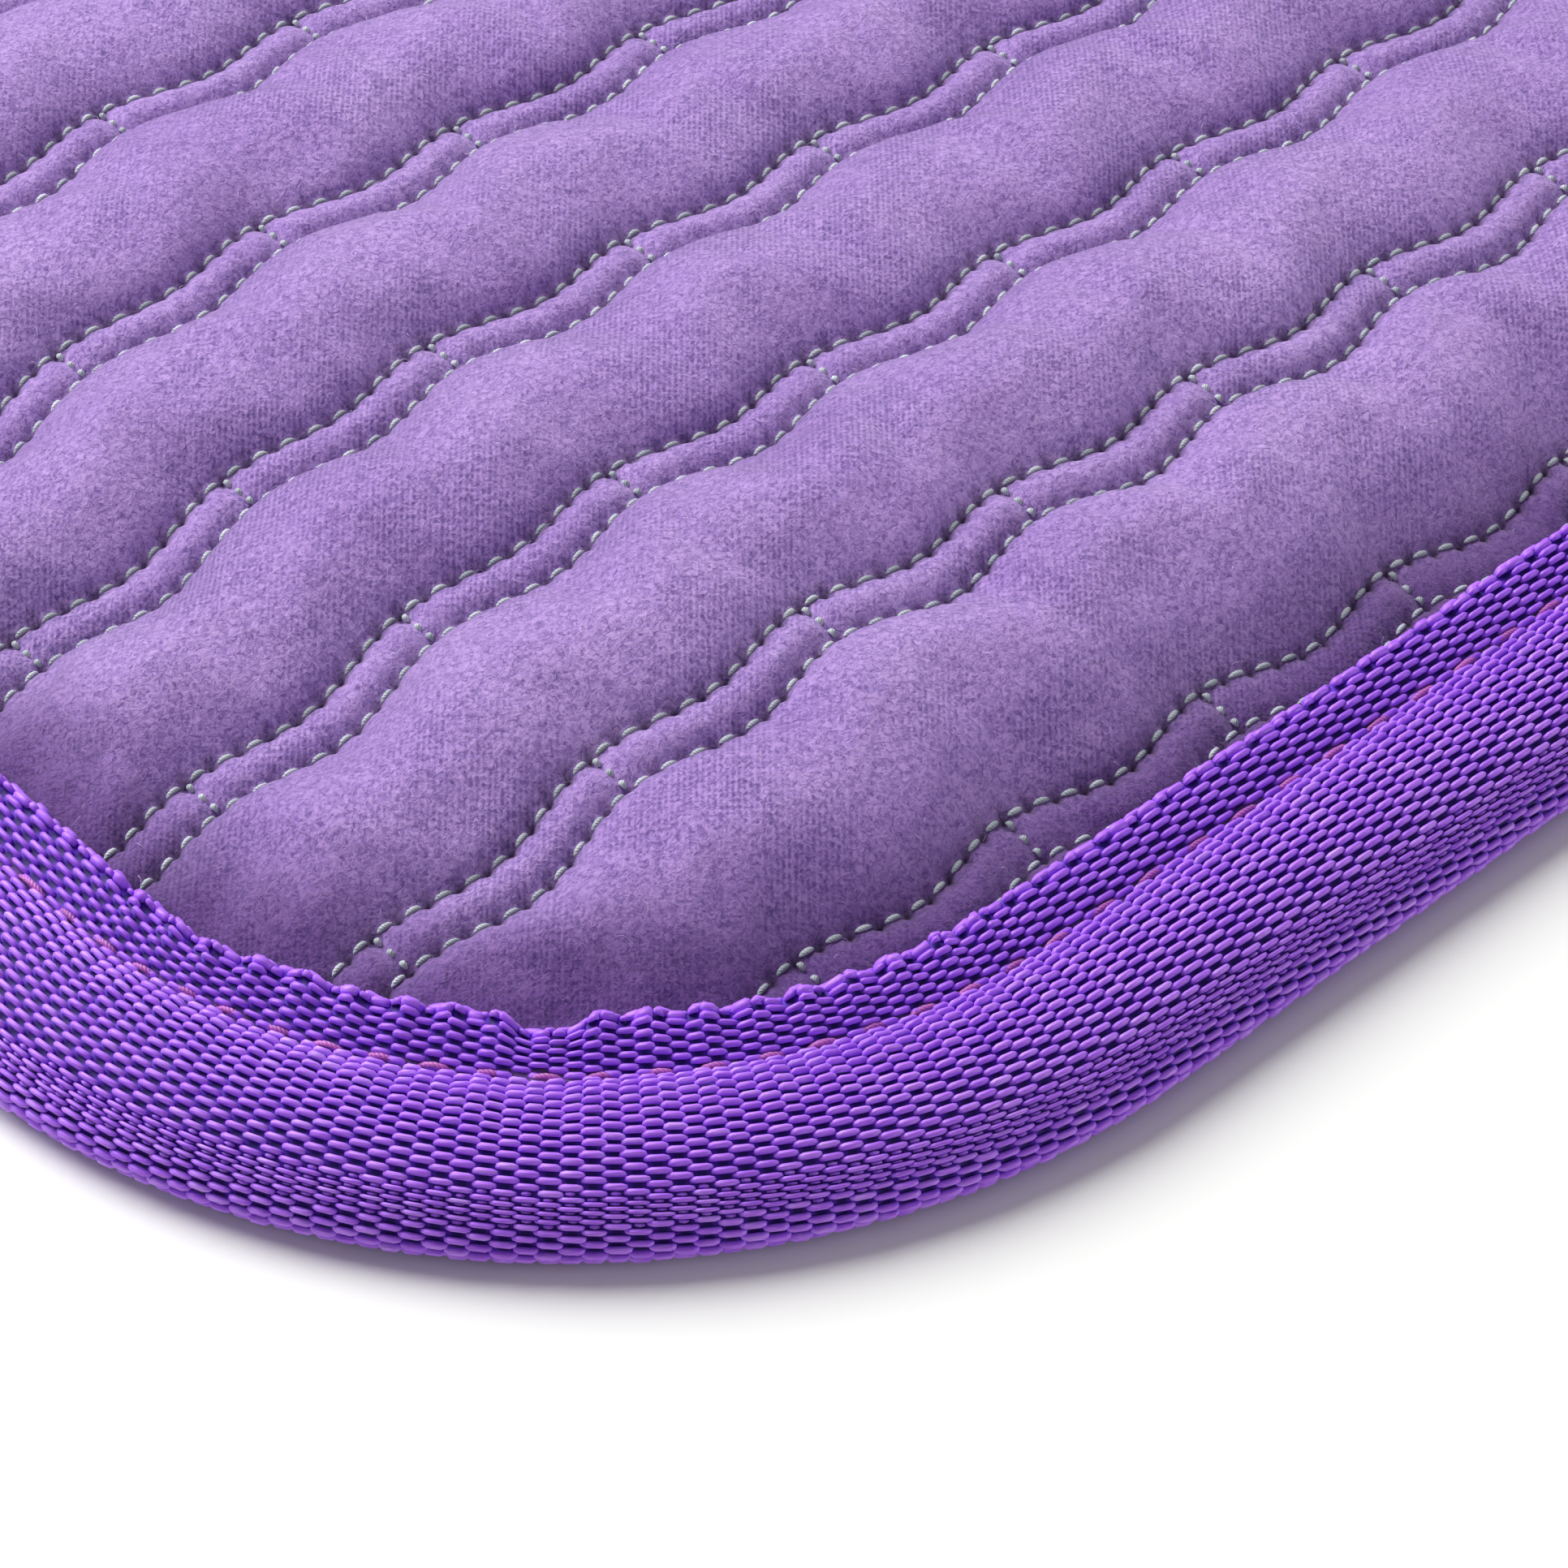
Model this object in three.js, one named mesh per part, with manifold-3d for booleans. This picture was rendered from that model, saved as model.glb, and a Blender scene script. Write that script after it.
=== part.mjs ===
// Quilted kneeling pad: a padded mat with a velour cover quilted in wavy ladder
// seams over a foam core, its edge bound all round with a folded webbing tape.
// Millimetres. X runs along the quilting rows, Z is up, and the origin is the
// middle of the underside, on the ground.

import * as THREE from "three";
import { mergeVertices } from "three/addons/utils/BufferGeometryUtils.js";
import Module from "manifold-3d";

// ---- Driving dimensions -------------------------------------------------

const LENGTH = 450;
const WIDTH = 280;
const CORNER_RADIUS = 78;
const CLEARANCE = 0.3;

// Edge binding: a webbing tape folded in half over the edge.
const TAPE_THICKNESS = 1.2;
const TAPE_COVER = 21;
const EDGE_THICKNESS = 9.5;
const SELVEDGE_DROP = 0.2;
const FOLD_DEPTH = 1.4;
const STITCH_INSET = 15.5;
const GROOVE_DEPTH = 0.8;
const GROOVE_HALF_WIDTH = 1.4;
const BINDING_THREAD = 0.8;
const NEEDLE_THREAD_HEIGHT = 0.6;
const BOBBIN_THREAD_HEIGHT = 0.36;

// Quilting: ladder seams of two wavy rails joined by a rung at every repeat.
const REPEAT = 26;
const ROW_COUNT = 9;
const ROW_PITCH = 27.5;
const RAIL_SPACING = 5.4;
const WAVE_HEIGHT = 1.25;
const QUILT_THREAD = 0.7;
const SEAM_LIFT = 1.0;
const SEAM_END_GAP = 3;
const SEAM_TAPE_GAP = 2;
const FIRST_RUNG_INSET = 59.6;
const FIRST_ROW_INSET = 25.6;

// Heights at the quilted seams in the middle of the pad, and how far the top
// takes to climb to them from the inner edge of the tape.
const SEAM_HEIGHT = 18;
const PUFF_HEIGHT = 5.6;
const PUFF_SHOULDER = 0.28;
const RISE_ALONG = 62;
const RISE_ACROSS = 36;
const RISE_AT_TAPE = 12;
const CORNER_MARGIN = 15;
const UNDERSIDE_STEP = 6;

// Layer thicknesses where the seams pinch them, and the edge of each layer
// inside the folded tape.
const COVER_THICKNESS = 0.8;
const WADDING_PINCHED = 0.8;
const LINING_THICKNESS = 0.3;
const BACKING_EDGE_THICKNESS = 0.8;
const COVER_INSET = 8;
const WADDING_INSET = 7;
const LINING_INSET = 6;
const FOAM_INSET = 4.5;
const BACKING_INSET = 3;
const BACKING_STEP_GAP = 1.2;
const COVER_HEADROOM = 0.45;

const CORNER_STEPS = 8;
const TRIM_DEPTH = 60;

// ---- Colours and finishes -----------------------------------------------

const FINISHES = {
  velour: { color: "#9a74c0", roughness: 0.95 },
  webbing: { color: "#7d3fd6", roughness: 0.6 },
  quiltThread: { color: "#a9aeb0", roughness: 0.6 },
  bindingThread: { color: "#bb5a9a", roughness: 0.55 },
  wadding: { color: "#eceae6", roughness: 1.0 },
  lining: { color: "#dcd9e2", roughness: 0.9 },
  foam: { color: "#55585c", roughness: 0.9 },
  backing: { color: "#4a3a66", roughness: 0.9 },
};

const pad = new THREE.Group();

function addPart(name, geometry, finish) {
  const material = new THREE.MeshStandardMaterial({ metalness: 0, ...FINISHES[finish] });
  const mesh = new THREE.Mesh(geometry, material);
  mesh.name = name;
  pad.add(mesh);
}

// ---- Solids through manifold-3d -----------------------------------------

const wasm = await Module();
wasm.setup();

function toSolid(geometry) {
  const bare = geometry.clone();
  bare.deleteAttribute("normal");
  bare.deleteAttribute("uv");
  const merged = mergeVertices(bare, 1e-4);
  return new wasm.Manifold(
    new wasm.Mesh({
      numProp: 3,
      vertProperties: new Float32Array(merged.attributes.position.array),
      triVerts: new Uint32Array(merged.index.array),
    }),
  );
}

function toGeometry(solid) {
  const mesh = solid.getMesh();
  const geometry = new THREE.BufferGeometry();
  geometry.setAttribute("position", new THREE.BufferAttribute(mesh.vertProperties, 3));
  geometry.setIndex(new THREE.BufferAttribute(mesh.triVerts, 1));
  geometry.computeVertexNormals();
  return geometry;
}

function meshGeometry(points, faces) {
  const geometry = new THREE.BufferGeometry();
  geometry.setAttribute("position", new THREE.Float32BufferAttribute(points.flat(), 3));
  geometry.setIndex(faces.flat());
  geometry.computeVertexNormals();
  return geometry;
}

// ---- The outline and the height of the top ------------------------------

function smooth(t) {
  const s = THREE.MathUtils.clamp(t, 0, 1);
  return s * s * (3 - 2 * s);
}

// How far a point lies inside the outline, a rectangle with round corners, and
// how much it belongs to a corner: 0 beside a straight edge, 1 on the diagonal.
function placeAt(x, y) {
  const dx = Math.abs(x) - (LENGTH / 2 - CORNER_RADIUS);
  const dy = Math.abs(y) - (WIDTH / 2 - CORNER_RADIUS);
  if (dx > 0 && dy > 0) {
    const reach = Math.hypot(dx, dy);
    return { inset: CORNER_RADIUS - reach, corner: (2 * dx * dy) / (reach * reach) };
  }
  return { inset: CORNER_RADIUS - Math.max(dx, dy), corner: 0 };
}

// 0 at the tape's inner edge and under the tape, 1 over the thick middle.
function riseAt(x, y) {
  const along = smooth((LENGTH / 2 - Math.abs(x) - TAPE_COVER) / RISE_ALONG);
  const across = smooth((WIDTH / 2 - Math.abs(y) - TAPE_COVER) / RISE_ACROSS);
  const { inset, corner } = placeAt(x, y);
  const past = inset - TAPE_COVER - CORNER_MARGIN * corner;
  return Math.min(along * across, THREE.MathUtils.clamp(past / RISE_AT_TAPE, 0, 1));
}

// ---- Heights of the layers, from the ground up --------------------------

const foldFloor = TAPE_THICKNESS + CLEARANCE;
const foldCeiling = EDGE_THICKNESS - FOLD_DEPTH - COVER_HEADROOM;
const foamFloor = foldFloor + BACKING_EDGE_THICKNESS + CLEARANCE;

const mix = THREE.MathUtils.lerp;
const seamTop = (x, y) => mix(foldCeiling, SEAM_HEIGHT, riseAt(x, y));
const waddingBottom = (x, y) => seamTop(x, y) - COVER_THICKNESS - CLEARANCE - WADDING_PINCHED;
const liningTop = (x, y) => waddingBottom(x, y) - CLEARANCE;
const liningBottom = (x, y) => liningTop(x, y) - LINING_THICKNESS;
const foamTop = (x, y) => liningBottom(x, y) - CLEARANCE;

// ---- Quilting rows ------------------------------------------------------

const seamHalf = RAIL_SPACING / 2 + WAVE_HEIGHT + QUILT_THREAD / 2;
const bandHalf = seamHalf + CLEARANCE;
const rowCentres = Array.from(
  { length: ROW_COUNT },
  (_, i) => -WIDTH / 2 + FIRST_ROW_INSET + i * ROW_PITCH,
);
const firstRung = -LENGTH / 2 + FIRST_RUNG_INSET;

// Every half repeat between the tapes is a crest or a trough of the wavy rails.
const halfRepeats = [];
const quiltedHalf = LENGTH / 2 - TAPE_COVER - SEAM_TAPE_GAP;
const firstCrest = firstRung - REPEAT * Math.floor((firstRung + quiltedHalf) / REPEAT);
for (let x = firstCrest - REPEAT / 2; x < quiltedHalf; x += REPEAT / 2) {
  if (x > -quiltedHalf) halfRepeats.push(x);
}

// Height of the puffed channels between the seams, as a share of the full puff.
function puffAt(x, y) {
  const edges = [-WIDTH / 2 + TAPE_COVER, ...rowCentres.flatMap((c) => [c - bandHalf, c + bandHalf])];
  edges.push(WIDTH / 2 - TAPE_COVER);
  for (let i = 0; i < edges.length; i += 2) {
    const low = edges[i];
    const high = edges[i + 1];
    if (y > low && y < high) {
      const t = (y - low) / (high - low);
      const { inset, corner } = placeAt(x, y);
      const fullness = smooth((inset - TAPE_COVER - CORNER_MARGIN * corner) / RISE_ACROSS);
      return fullness * Math.sqrt(Math.sin(Math.PI * t));
    }
  }
  return 0;
}

const coverTop = (x, y) => seamTop(x, y) + PUFF_HEIGHT * puffAt(x, y);
const coverBottom = (x, y) => coverTop(x, y) - COVER_THICKNESS;
const waddingTop = (x, y) => coverBottom(x, y) - CLEARANCE;

// ---- Grid lines of the layers -------------------------------------------

const flatHalfLength = LENGTH / 2 - TAPE_COVER - RISE_ALONG;
const flatHalfWidth = WIDTH / 2 - TAPE_COVER - RISE_ACROSS;

function sorted(values) {
  const rounded = values.map((v) => Number(v.toFixed(4)));
  return [...new Set(rounded)].sort((a, b) => a - b);
}

const columns = sorted([
  ...halfRepeats.filter((x) => Math.abs(x) > flatHalfLength - REPEAT / 2),
  ...[LENGTH / 2 - TAPE_COVER, LENGTH / 2].flatMap((x) => [-x, x]),
]);

function channelLines() {
  const lines = [];
  const bounds = [-WIDTH / 2 + TAPE_COVER, ...rowCentres, WIDTH / 2 - TAPE_COVER];
  for (let i = 0; i + 1 < bounds.length; i += 1) {
    const low = i === 0 ? bounds[i] : bounds[i] + bandHalf;
    const high = i + 2 === bounds.length ? bounds[i + 1] : bounds[i + 1] - bandHalf;
    if (high - low < REPEAT / 4) {
      lines.push(low);
    } else {
      const shoulder = PUFF_SHOULDER * (high - low);
      lines.push(low, low + shoulder, high - shoulder, high);
    }
  }
  return lines;
}

const rows = sorted([
  -WIDTH / 2,
  ...rowCentres.flatMap((c) => [c - bandHalf, c + bandHalf]),
  ...channelLines(),
  -flatHalfWidth,
  flatHalfWidth,
  WIDTH / 2,
]);
const outerRows = rows.filter((y) => Math.abs(y) >= flatHalfWidth);

// ---- Layers -------------------------------------------------------------

// A closed sheet over the grid, between two height functions.
function sheet(xs, ys, top, bottom) {
  const points = [];
  for (const height of [top, bottom]) {
    for (const x of xs) {
      for (const y of ys) points.push([x, y, height(x, y)]);
    }
  }
  const layer = xs.length * ys.length;
  const at = (i, j) => i * ys.length + j;
  const faces = [];
  for (let i = 0; i + 1 < xs.length; i += 1) {
    for (let j = 0; j + 1 < ys.length; j += 1) {
      const [a, b, c, d] = [at(i, j), at(i + 1, j), at(i + 1, j + 1), at(i, j + 1)];
      faces.push([a, b, c], [a, c, d]);
      faces.push([a + layer, c + layer, b + layer], [a + layer, d + layer, c + layer]);
    }
  }
  const wall = (a, b) => faces.push([a, a + layer, b], [b, a + layer, b + layer]);
  const lastX = xs.length - 1;
  const lastY = ys.length - 1;
  for (let i = 0; i < lastX; i += 1) {
    wall(at(i, 0), at(i + 1, 0));
    wall(at(i + 1, lastY), at(i, lastY));
  }
  for (let j = 0; j < lastY; j += 1) {
    wall(at(0, j + 1), at(0, j));
    wall(at(lastX, j), at(lastX, j + 1));
  }
  return meshGeometry(points, faces);
}

// A tall block of the pad's outline, drawn in by the inset.
function outlineBlock(inset) {
  const halfX = LENGTH / 2 - inset;
  const halfY = WIDTH / 2 - inset;
  const radius = CORNER_RADIUS - inset;
  const outline = new THREE.Shape();
  outline.moveTo(halfX - radius, -halfY);
  outline.absarc(halfX - radius, -halfY + radius, radius, -Math.PI / 2, 0);
  outline.absarc(halfX - radius, halfY - radius, radius, 0, Math.PI / 2);
  outline.absarc(-halfX + radius, halfY - radius, radius, Math.PI / 2, Math.PI);
  outline.absarc(-halfX + radius, -halfY + radius, radius, Math.PI, 1.5 * Math.PI);
  const block = new THREE.ExtrudeGeometry(outline, {
    depth: TRIM_DEPTH,
    bevelEnabled: false,
    curveSegments: CORNER_STEPS,
  });
  return block.translate(0, 0, -TRIM_DEPTH / 3);
}

function trimmedSheet(xs, ys, top, bottom, inset) {
  const layer = toSolid(sheet(xs, ys, top, bottom));
  return toGeometry(layer.intersect(toSolid(outlineBlock(inset))));
}

addPart("top_cover", trimmedSheet(columns, rows, coverTop, coverBottom, COVER_INSET), "velour");
addPart("quilt_wadding", trimmedSheet(columns, rows, waddingTop, waddingBottom, WADDING_INSET), "wadding");
addPart("quilt_lining", trimmedSheet(columns, outerRows, liningTop, liningBottom, LINING_INSET), "lining");

addPart("foam_core", trimmedSheet(columns, outerRows, foamTop, () => foamFloor, FOAM_INSET), "foam");

// ---- Edge binding -------------------------------------------------------

// Section of the folded tape as [inset, height] points, from its upper inner
// edge round the inside of the fold and back over the outside.
const tapeSection = [
  [TAPE_COVER, EDGE_THICKNESS - SELVEDGE_DROP],
  [TAPE_COVER, EDGE_THICKNESS - SELVEDGE_DROP - TAPE_THICKNESS],
  [6.5, EDGE_THICKNESS - FOLD_DEPTH],
  [3.2, EDGE_THICKNESS - 3.2],
  [1.5, EDGE_THICKNESS - 5.2],
  [1.3, 2.6],
  [2.4, TAPE_THICKNESS],
  [TAPE_COVER, TAPE_THICKNESS],
  [TAPE_COVER, 0],
  [STITCH_INSET + GROOVE_HALF_WIDTH, 0],
  [STITCH_INSET + BINDING_THREAD / 2 + 0.1, GROOVE_DEPTH - 0.1],
  [STITCH_INSET - BINDING_THREAD / 2 - 0.1, GROOVE_DEPTH - 0.1],
  [STITCH_INSET - GROOVE_HALF_WIDTH, 0],
  [2, 0],
  [0.5, 0.9],
  [0, 2.6],
  [0.3, EDGE_THICKNESS - 4.8],
  [2.3, EDGE_THICKNESS - 2.2],
  [6, EDGE_THICKNESS - 0.4],
  [10, EDGE_THICKNESS],
  [STITCH_INSET - GROOVE_HALF_WIDTH, EDGE_THICKNESS - SELVEDGE_DROP / 2],
  [STITCH_INSET, EDGE_THICKNESS - GROOVE_DEPTH],
  [STITCH_INSET + GROOVE_HALF_WIDTH, EDGE_THICKNESS - SELVEDGE_DROP],
];

// Points round the outline: each has its corner's centre and a way outwards.
const stations = [];
const cornerX = LENGTH / 2 - CORNER_RADIUS;
const cornerY = WIDTH / 2 - CORNER_RADIUS;
[[cornerX, -cornerY], [cornerX, cornerY], [-cornerX, cornerY], [-cornerX, -cornerY]].forEach(
  ([cx, cy], corner) => {
    for (let k = 0; k <= CORNER_STEPS; k += 1) {
      const angle = (corner - 1 + k / CORNER_STEPS) * (Math.PI / 2);
      stations.push({ cx, cy, ux: Math.cos(angle), uy: Math.sin(angle) });
    }
  },
);

// Carries a section of [inset, height] points round the outline. A closed
// section comes back to its first point; an open one is closed by flat caps.
function sweepRound(section, closed = true) {
  const points = stations.flatMap(({ cx, cy, ux, uy }) =>
    section.map(([inset, height]) => {
      const reach = CORNER_RADIUS - inset;
      return [cx + reach * ux, cy + reach * uy, height];
    }),
  );
  const faces = [];
  const count = section.length;
  const steps = closed ? count : count - 1;
  for (let s = 0; s < stations.length; s += 1) {
    const next = (s + 1) % stations.length;
    for (let k = 0; k < steps; k += 1) {
      const up = (k + 1) % count;
      const [a, b, c, d] = [s * count + k, next * count + k, next * count + up, s * count + up];
      faces.push([a, b, c], [a, c, d]);
    }
  }
  if (!closed) {
    const bottom = points.length;
    points.push([0, 0, section[0][1]], [0, 0, section[count - 1][1]]);
    for (let s = 0; s < stations.length; s += 1) {
      const next = (s + 1) % stations.length;
      faces.push([bottom, next * count, s * count]);
      faces.push([bottom + 1, s * count + count - 1, next * count + count - 1]);
    }
  }
  return meshGeometry(points, faces);
}

// Section of a binding thread that lies on the stitch line.
function threadSection(bottom, height) {
  const inner = STITCH_INSET + BINDING_THREAD / 2;
  const outer = STITCH_INSET - BINDING_THREAD / 2;
  return [
    [inner, bottom],
    [outer, bottom],
    [outer, bottom + height],
    [inner, bottom + height],
  ];
}

addPart("edge_binding", sweepRound(tapeSection), "webbing");

// The needle thread clears the sloping sides of its groove; the bobbin thread
// lies in the lower groove, just off the ground.
const needleBottom = EDGE_THICKNESS - GROOVE_DEPTH + CLEARANCE + 0.1;
const bobbinBottom = 0.02;
const needleThread = threadSection(needleBottom, NEEDLE_THREAD_HEIGHT);
const bobbinThread = threadSection(bobbinBottom, BOBBIN_THREAD_HEIGHT);
addPart("binding_needle_thread", sweepRound(needleThread), "bindingThread");
addPart("binding_bobbin_thread", sweepRound(bobbinThread), "bindingThread");

// ---- Quilting seams -----------------------------------------------------

// Where a line along the pad meets the inner edge of the tape.
function tapeEdgeX(y) {
  const radius = CORNER_RADIUS - TAPE_COVER;
  const dy = Math.max(Math.abs(y) - (WIDTH / 2 - CORNER_RADIUS), 0);
  return LENGTH / 2 - CORNER_RADIUS + Math.sqrt(radius * radius - dy * dy);
}

// Height of the cover between its grid lines, on the same triangles.
function coverHeight(x, y) {
  const i = Math.max(columns.findIndex((c) => c > x) - 1, 0);
  const j = Math.max(rows.findIndex((r) => r > y) - 1, 0);
  const s = (x - columns[i]) / (columns[i + 1] - columns[i]);
  const t = (y - rows[j]) / (rows[j + 1] - rows[j]);
  const z00 = coverTop(columns[i], rows[j]);
  const z10 = coverTop(columns[i + 1], rows[j]);
  const z11 = coverTop(columns[i + 1], rows[j + 1]);
  const z01 = coverTop(columns[i], rows[j + 1]);
  return s >= t ? z00 + s * (z10 - z00) + t * (z11 - z10) : z00 + t * (z01 - z00) + s * (z11 - z01);
}

function ladderSeam(centre) {
  const half = QUILT_THREAD / 2;
  const reach = tapeEdgeX(Math.abs(centre) + seamHalf) - SEAM_END_GAP;
  const inside = halfRepeats.filter((x) => Math.abs(x) < reach - SEAM_TAPE_GAP);
  const xs = [-reach, ...inside, reach];
  const wave = (x) => WAVE_HEIGHT * Math.cos((2 * Math.PI * (x - firstRung)) / REPEAT);
  const low = (x) => centre - RAIL_SPACING / 2 + wave(x);
  const high = (x) => centre + RAIL_SPACING / 2 + wave(x);
  const point = (x, y) => new THREE.Vector2(x, y);

  const outline = new THREE.Shape([
    ...xs.map((x) => point(x, low(x) - half)),
    ...xs.toReversed().map((x) => point(x, high(x) + half)),
  ]);
  const rungs = inside.filter((x) => Math.abs(wave(x) - WAVE_HEIGHT) < 1e-6);
  const stops = [-reach, ...rungs, reach];
  for (let i = 0; i + 1 < stops.length; i += 1) {
    const left = stops[i] + half;
    const right = stops[i + 1] - half;
    const middle = inside.filter((x) => x > left + 1 && x < right - 1);
    const across = [left, ...middle, right];
    outline.holes.push(
      new THREE.Path([
        ...across.map((x) => point(x, low(x) + half)),
        ...across.toReversed().map((x) => point(x, high(x) - half)),
      ]),
    );
  }
  const seam = new THREE.ExtrudeGeometry(outline, { depth: QUILT_THREAD, bevelEnabled: false });
  const position = seam.attributes.position;
  for (let i = 0; i < position.count; i += 1) {
    const lift = coverHeight(position.getX(i), position.getY(i)) + SEAM_LIFT;
    position.setZ(i, position.getZ(i) + lift);
  }
  return toGeometry(toSolid(seam));
}

rowCentres.forEach((centre, i) => {
  addPart(`quilt_stitching_0${i + 1}`, ladderSeam(centre), "quiltThread");
});

// ---- Backing ------------------------------------------------------------

// Foam-backed cloth, pinched to its edge thickness inside the fold; past the
// tape its lower face drops to the ground.
const stepStart = TAPE_COVER + BACKING_STEP_GAP;
const backingSection = [
  [stepStart + UNDERSIDE_STEP, 0],
  [stepStart, foldFloor],
  [BACKING_INSET, foldFloor],
  [BACKING_INSET, foldFloor + BACKING_EDGE_THICKNESS],
];
addPart("backing_cover", sweepRound(backingSection, false), "backing");

export default pad;
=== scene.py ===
import math

import bpy
import numpy as np
from mathutils import Euler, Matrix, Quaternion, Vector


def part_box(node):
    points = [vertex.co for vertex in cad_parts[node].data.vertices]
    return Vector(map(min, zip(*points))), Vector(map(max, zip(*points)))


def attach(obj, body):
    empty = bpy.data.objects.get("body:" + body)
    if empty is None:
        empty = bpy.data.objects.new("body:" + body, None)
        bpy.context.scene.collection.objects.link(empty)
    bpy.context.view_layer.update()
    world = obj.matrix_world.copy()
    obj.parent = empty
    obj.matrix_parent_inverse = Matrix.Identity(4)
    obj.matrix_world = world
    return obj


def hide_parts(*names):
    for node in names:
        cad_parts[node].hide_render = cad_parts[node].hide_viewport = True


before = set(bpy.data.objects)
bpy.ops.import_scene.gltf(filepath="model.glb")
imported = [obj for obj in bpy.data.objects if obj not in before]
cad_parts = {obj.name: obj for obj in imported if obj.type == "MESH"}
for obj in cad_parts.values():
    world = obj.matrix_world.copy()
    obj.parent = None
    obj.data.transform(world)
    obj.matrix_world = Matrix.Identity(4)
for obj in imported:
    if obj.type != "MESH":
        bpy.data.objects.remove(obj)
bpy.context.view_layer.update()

bl_info = {
    "name": "Quilted Kneeling Pad",
    "version": (1, 0, 0),
    "blender": (4, 5, 0),
    "location": "View3D > Sidebar > Kneeling Pad",
    "description": "Builds a quilted kneeling pad with a velour top and a bound edge",
    "category": "Add Mesh",
}

# ---- The pad's driving sizes, in millimetres ------------------------------

MM = 0.001


def node_box(name):
    """Lowest and highest corner of a CAD node, in millimetres."""
    low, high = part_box(name)
    return np.array(low) / MM, np.array(high) / MM


HALF_LENGTH, HALF_WIDTH = node_box("edge_binding")[1][:2]
CORNER_RADIUS = 78.0
TAPE_COVER = 21.0
STITCH_INSET = 15.5

REPEAT = 26.0
ROW_COUNT = 9
ROW_PITCH = 27.5
RAIL_HALF = 2.7
WAVE_HEIGHT = 1.25
FIRST_RUNG = -HALF_LENGTH + 59.6
FIRST_ROW = -HALF_WIDTH + 25.6
ROW_CENTRES = FIRST_ROW + ROW_PITCH * np.arange(ROW_COUNT)
RAILS = np.concatenate([ROW_CENTRES - RAIL_HALF, ROW_CENTRES + RAIL_HALF])
STITCHES_PER_REPEAT = 9
STITCH_STEP = REPEAT / STITCHES_PER_REPEAT
WAVE_LEAN = 0.16
WAVE_FLATTENING = 0.1

SEAM_HEIGHT = 18.0
EDGE_HEIGHT = 8.4
RISE_ALONG = 62.0
RISE_ACROSS = 36.0
TAPE_HOLD = 10.0  # width of cover beside the tape that its stitches pull down
TAPE_LAP = 1.0  # how far the held cover reaches under the tape

SEED = 812


# ---- Outline, heights and the quilting wave -------------------------------


def smooth(t):
    """Soft step from 0 to 1."""
    t = np.clip(t, 0.0, 1.0)
    return t * t * (3.0 - 2.0 * t)


def inset_at(x, y):
    """Distance inwards from the pad's outline, a rectangle with round corners."""
    dx = np.abs(x) - (HALF_LENGTH - CORNER_RADIUS)
    dy = np.abs(y) - (HALF_WIDTH - CORNER_RADIUS)
    reach = np.hypot(np.maximum(dx, 0), np.maximum(dy, 0))
    return CORNER_RADIUS - np.where((dx > 0) & (dy > 0), reach, np.maximum(dx, dy))


def seam_height(x, y):
    """Height of the cover where the seams hold it down."""
    along = smooth((HALF_LENGTH - np.abs(x) - TAPE_COVER) / RISE_ALONG)
    across = smooth((HALF_WIDTH - np.abs(y) - TAPE_COVER) / RISE_ACROSS)
    near_tape = smooth((inset_at(x, y) - TAPE_COVER + TAPE_LAP) / TAPE_HOLD)
    return EDGE_HEIGHT + (SEAM_HEIGHT - EDGE_HEIGHT) * along * across * near_tape


def wave(x):
    """Sideways sway of every seam: a crest at each rung, a sag between."""
    turn = 2 * math.pi * (x - FIRST_RUNG) / REPEAT
    return WAVE_HEIGHT * (np.cos(turn + WAVE_LEAN * np.sin(turn)) - WAVE_FLATTENING * np.cos(2 * turn))


def from_rail(v):
    """Distance across the rows to the nearest rail of a ladder seam."""
    return np.min(np.abs(v[..., None] - RAILS), -1)


def from_row(v):
    """Distance across the rows to the nearest ladder's middle."""
    return np.min(np.abs(v[..., None] - ROW_CENTRES), -1)


def from_rung(x):
    """Distance along a row to the nearest rung of its ladder."""
    repeats = (x - FIRST_RUNG) / REPEAT
    return np.abs(repeats - np.round(repeats)) * REPEAT


def ripple(x, y, scale, seed, waves=7):
    """Smooth seeded noise, mostly between -1 and 1, made of a few plane waves."""
    rng = np.random.default_rng(seed)
    total = np.zeros(np.broadcast(x, y).shape)
    for _ in range(waves):
        angle = rng.uniform(0, 2 * math.pi)
        pitch = scale * rng.uniform(0.6, 1.6)
        phase = rng.uniform(0, 2 * math.pi)
        total += np.sin(2 * math.pi * (x * math.cos(angle) + y * math.sin(angle)) / pitch + phase)
    return total / math.sqrt(waves)


def catmull_rom(a, b, c, d, t):
    """Value at t between b and c on a smooth curve through a, b, c and d."""
    return b + 0.5 * t * (c - a + t * (2 * a - 5 * b + 4 * c - d + t * (3 * (b - c) + d - a)))


# ---- Mesh helpers ---------------------------------------------------------


def new_mesh(name, points, faces):
    """A smooth object from points in millimetres and one array of faces or a list of them."""
    groups = faces if isinstance(faces, list) else [faces]
    mesh = bpy.data.meshes.new(name)
    mesh.vertices.add(len(points))
    mesh.vertices.foreach_set("co", (np.asarray(points, np.float32) * MM).ravel())
    corners = np.concatenate([g.ravel() for g in groups]).astype(np.int32)
    sizes = np.concatenate([np.full(len(g), g.shape[1]) for g in groups])
    mesh.loops.add(len(corners))
    mesh.loops.foreach_set("vertex_index", corners)
    mesh.polygons.add(len(sizes))
    mesh.polygons.foreach_set("loop_start", np.concatenate([[0], np.cumsum(sizes)[:-1]]))
    mesh.polygons.foreach_set("use_smooth", np.full(len(sizes), True))
    mesh.update(calc_edges=True)
    piece = bpy.data.objects.new(name, mesh)
    bpy.context.scene.collection.objects.link(piece)
    return piece


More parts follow.
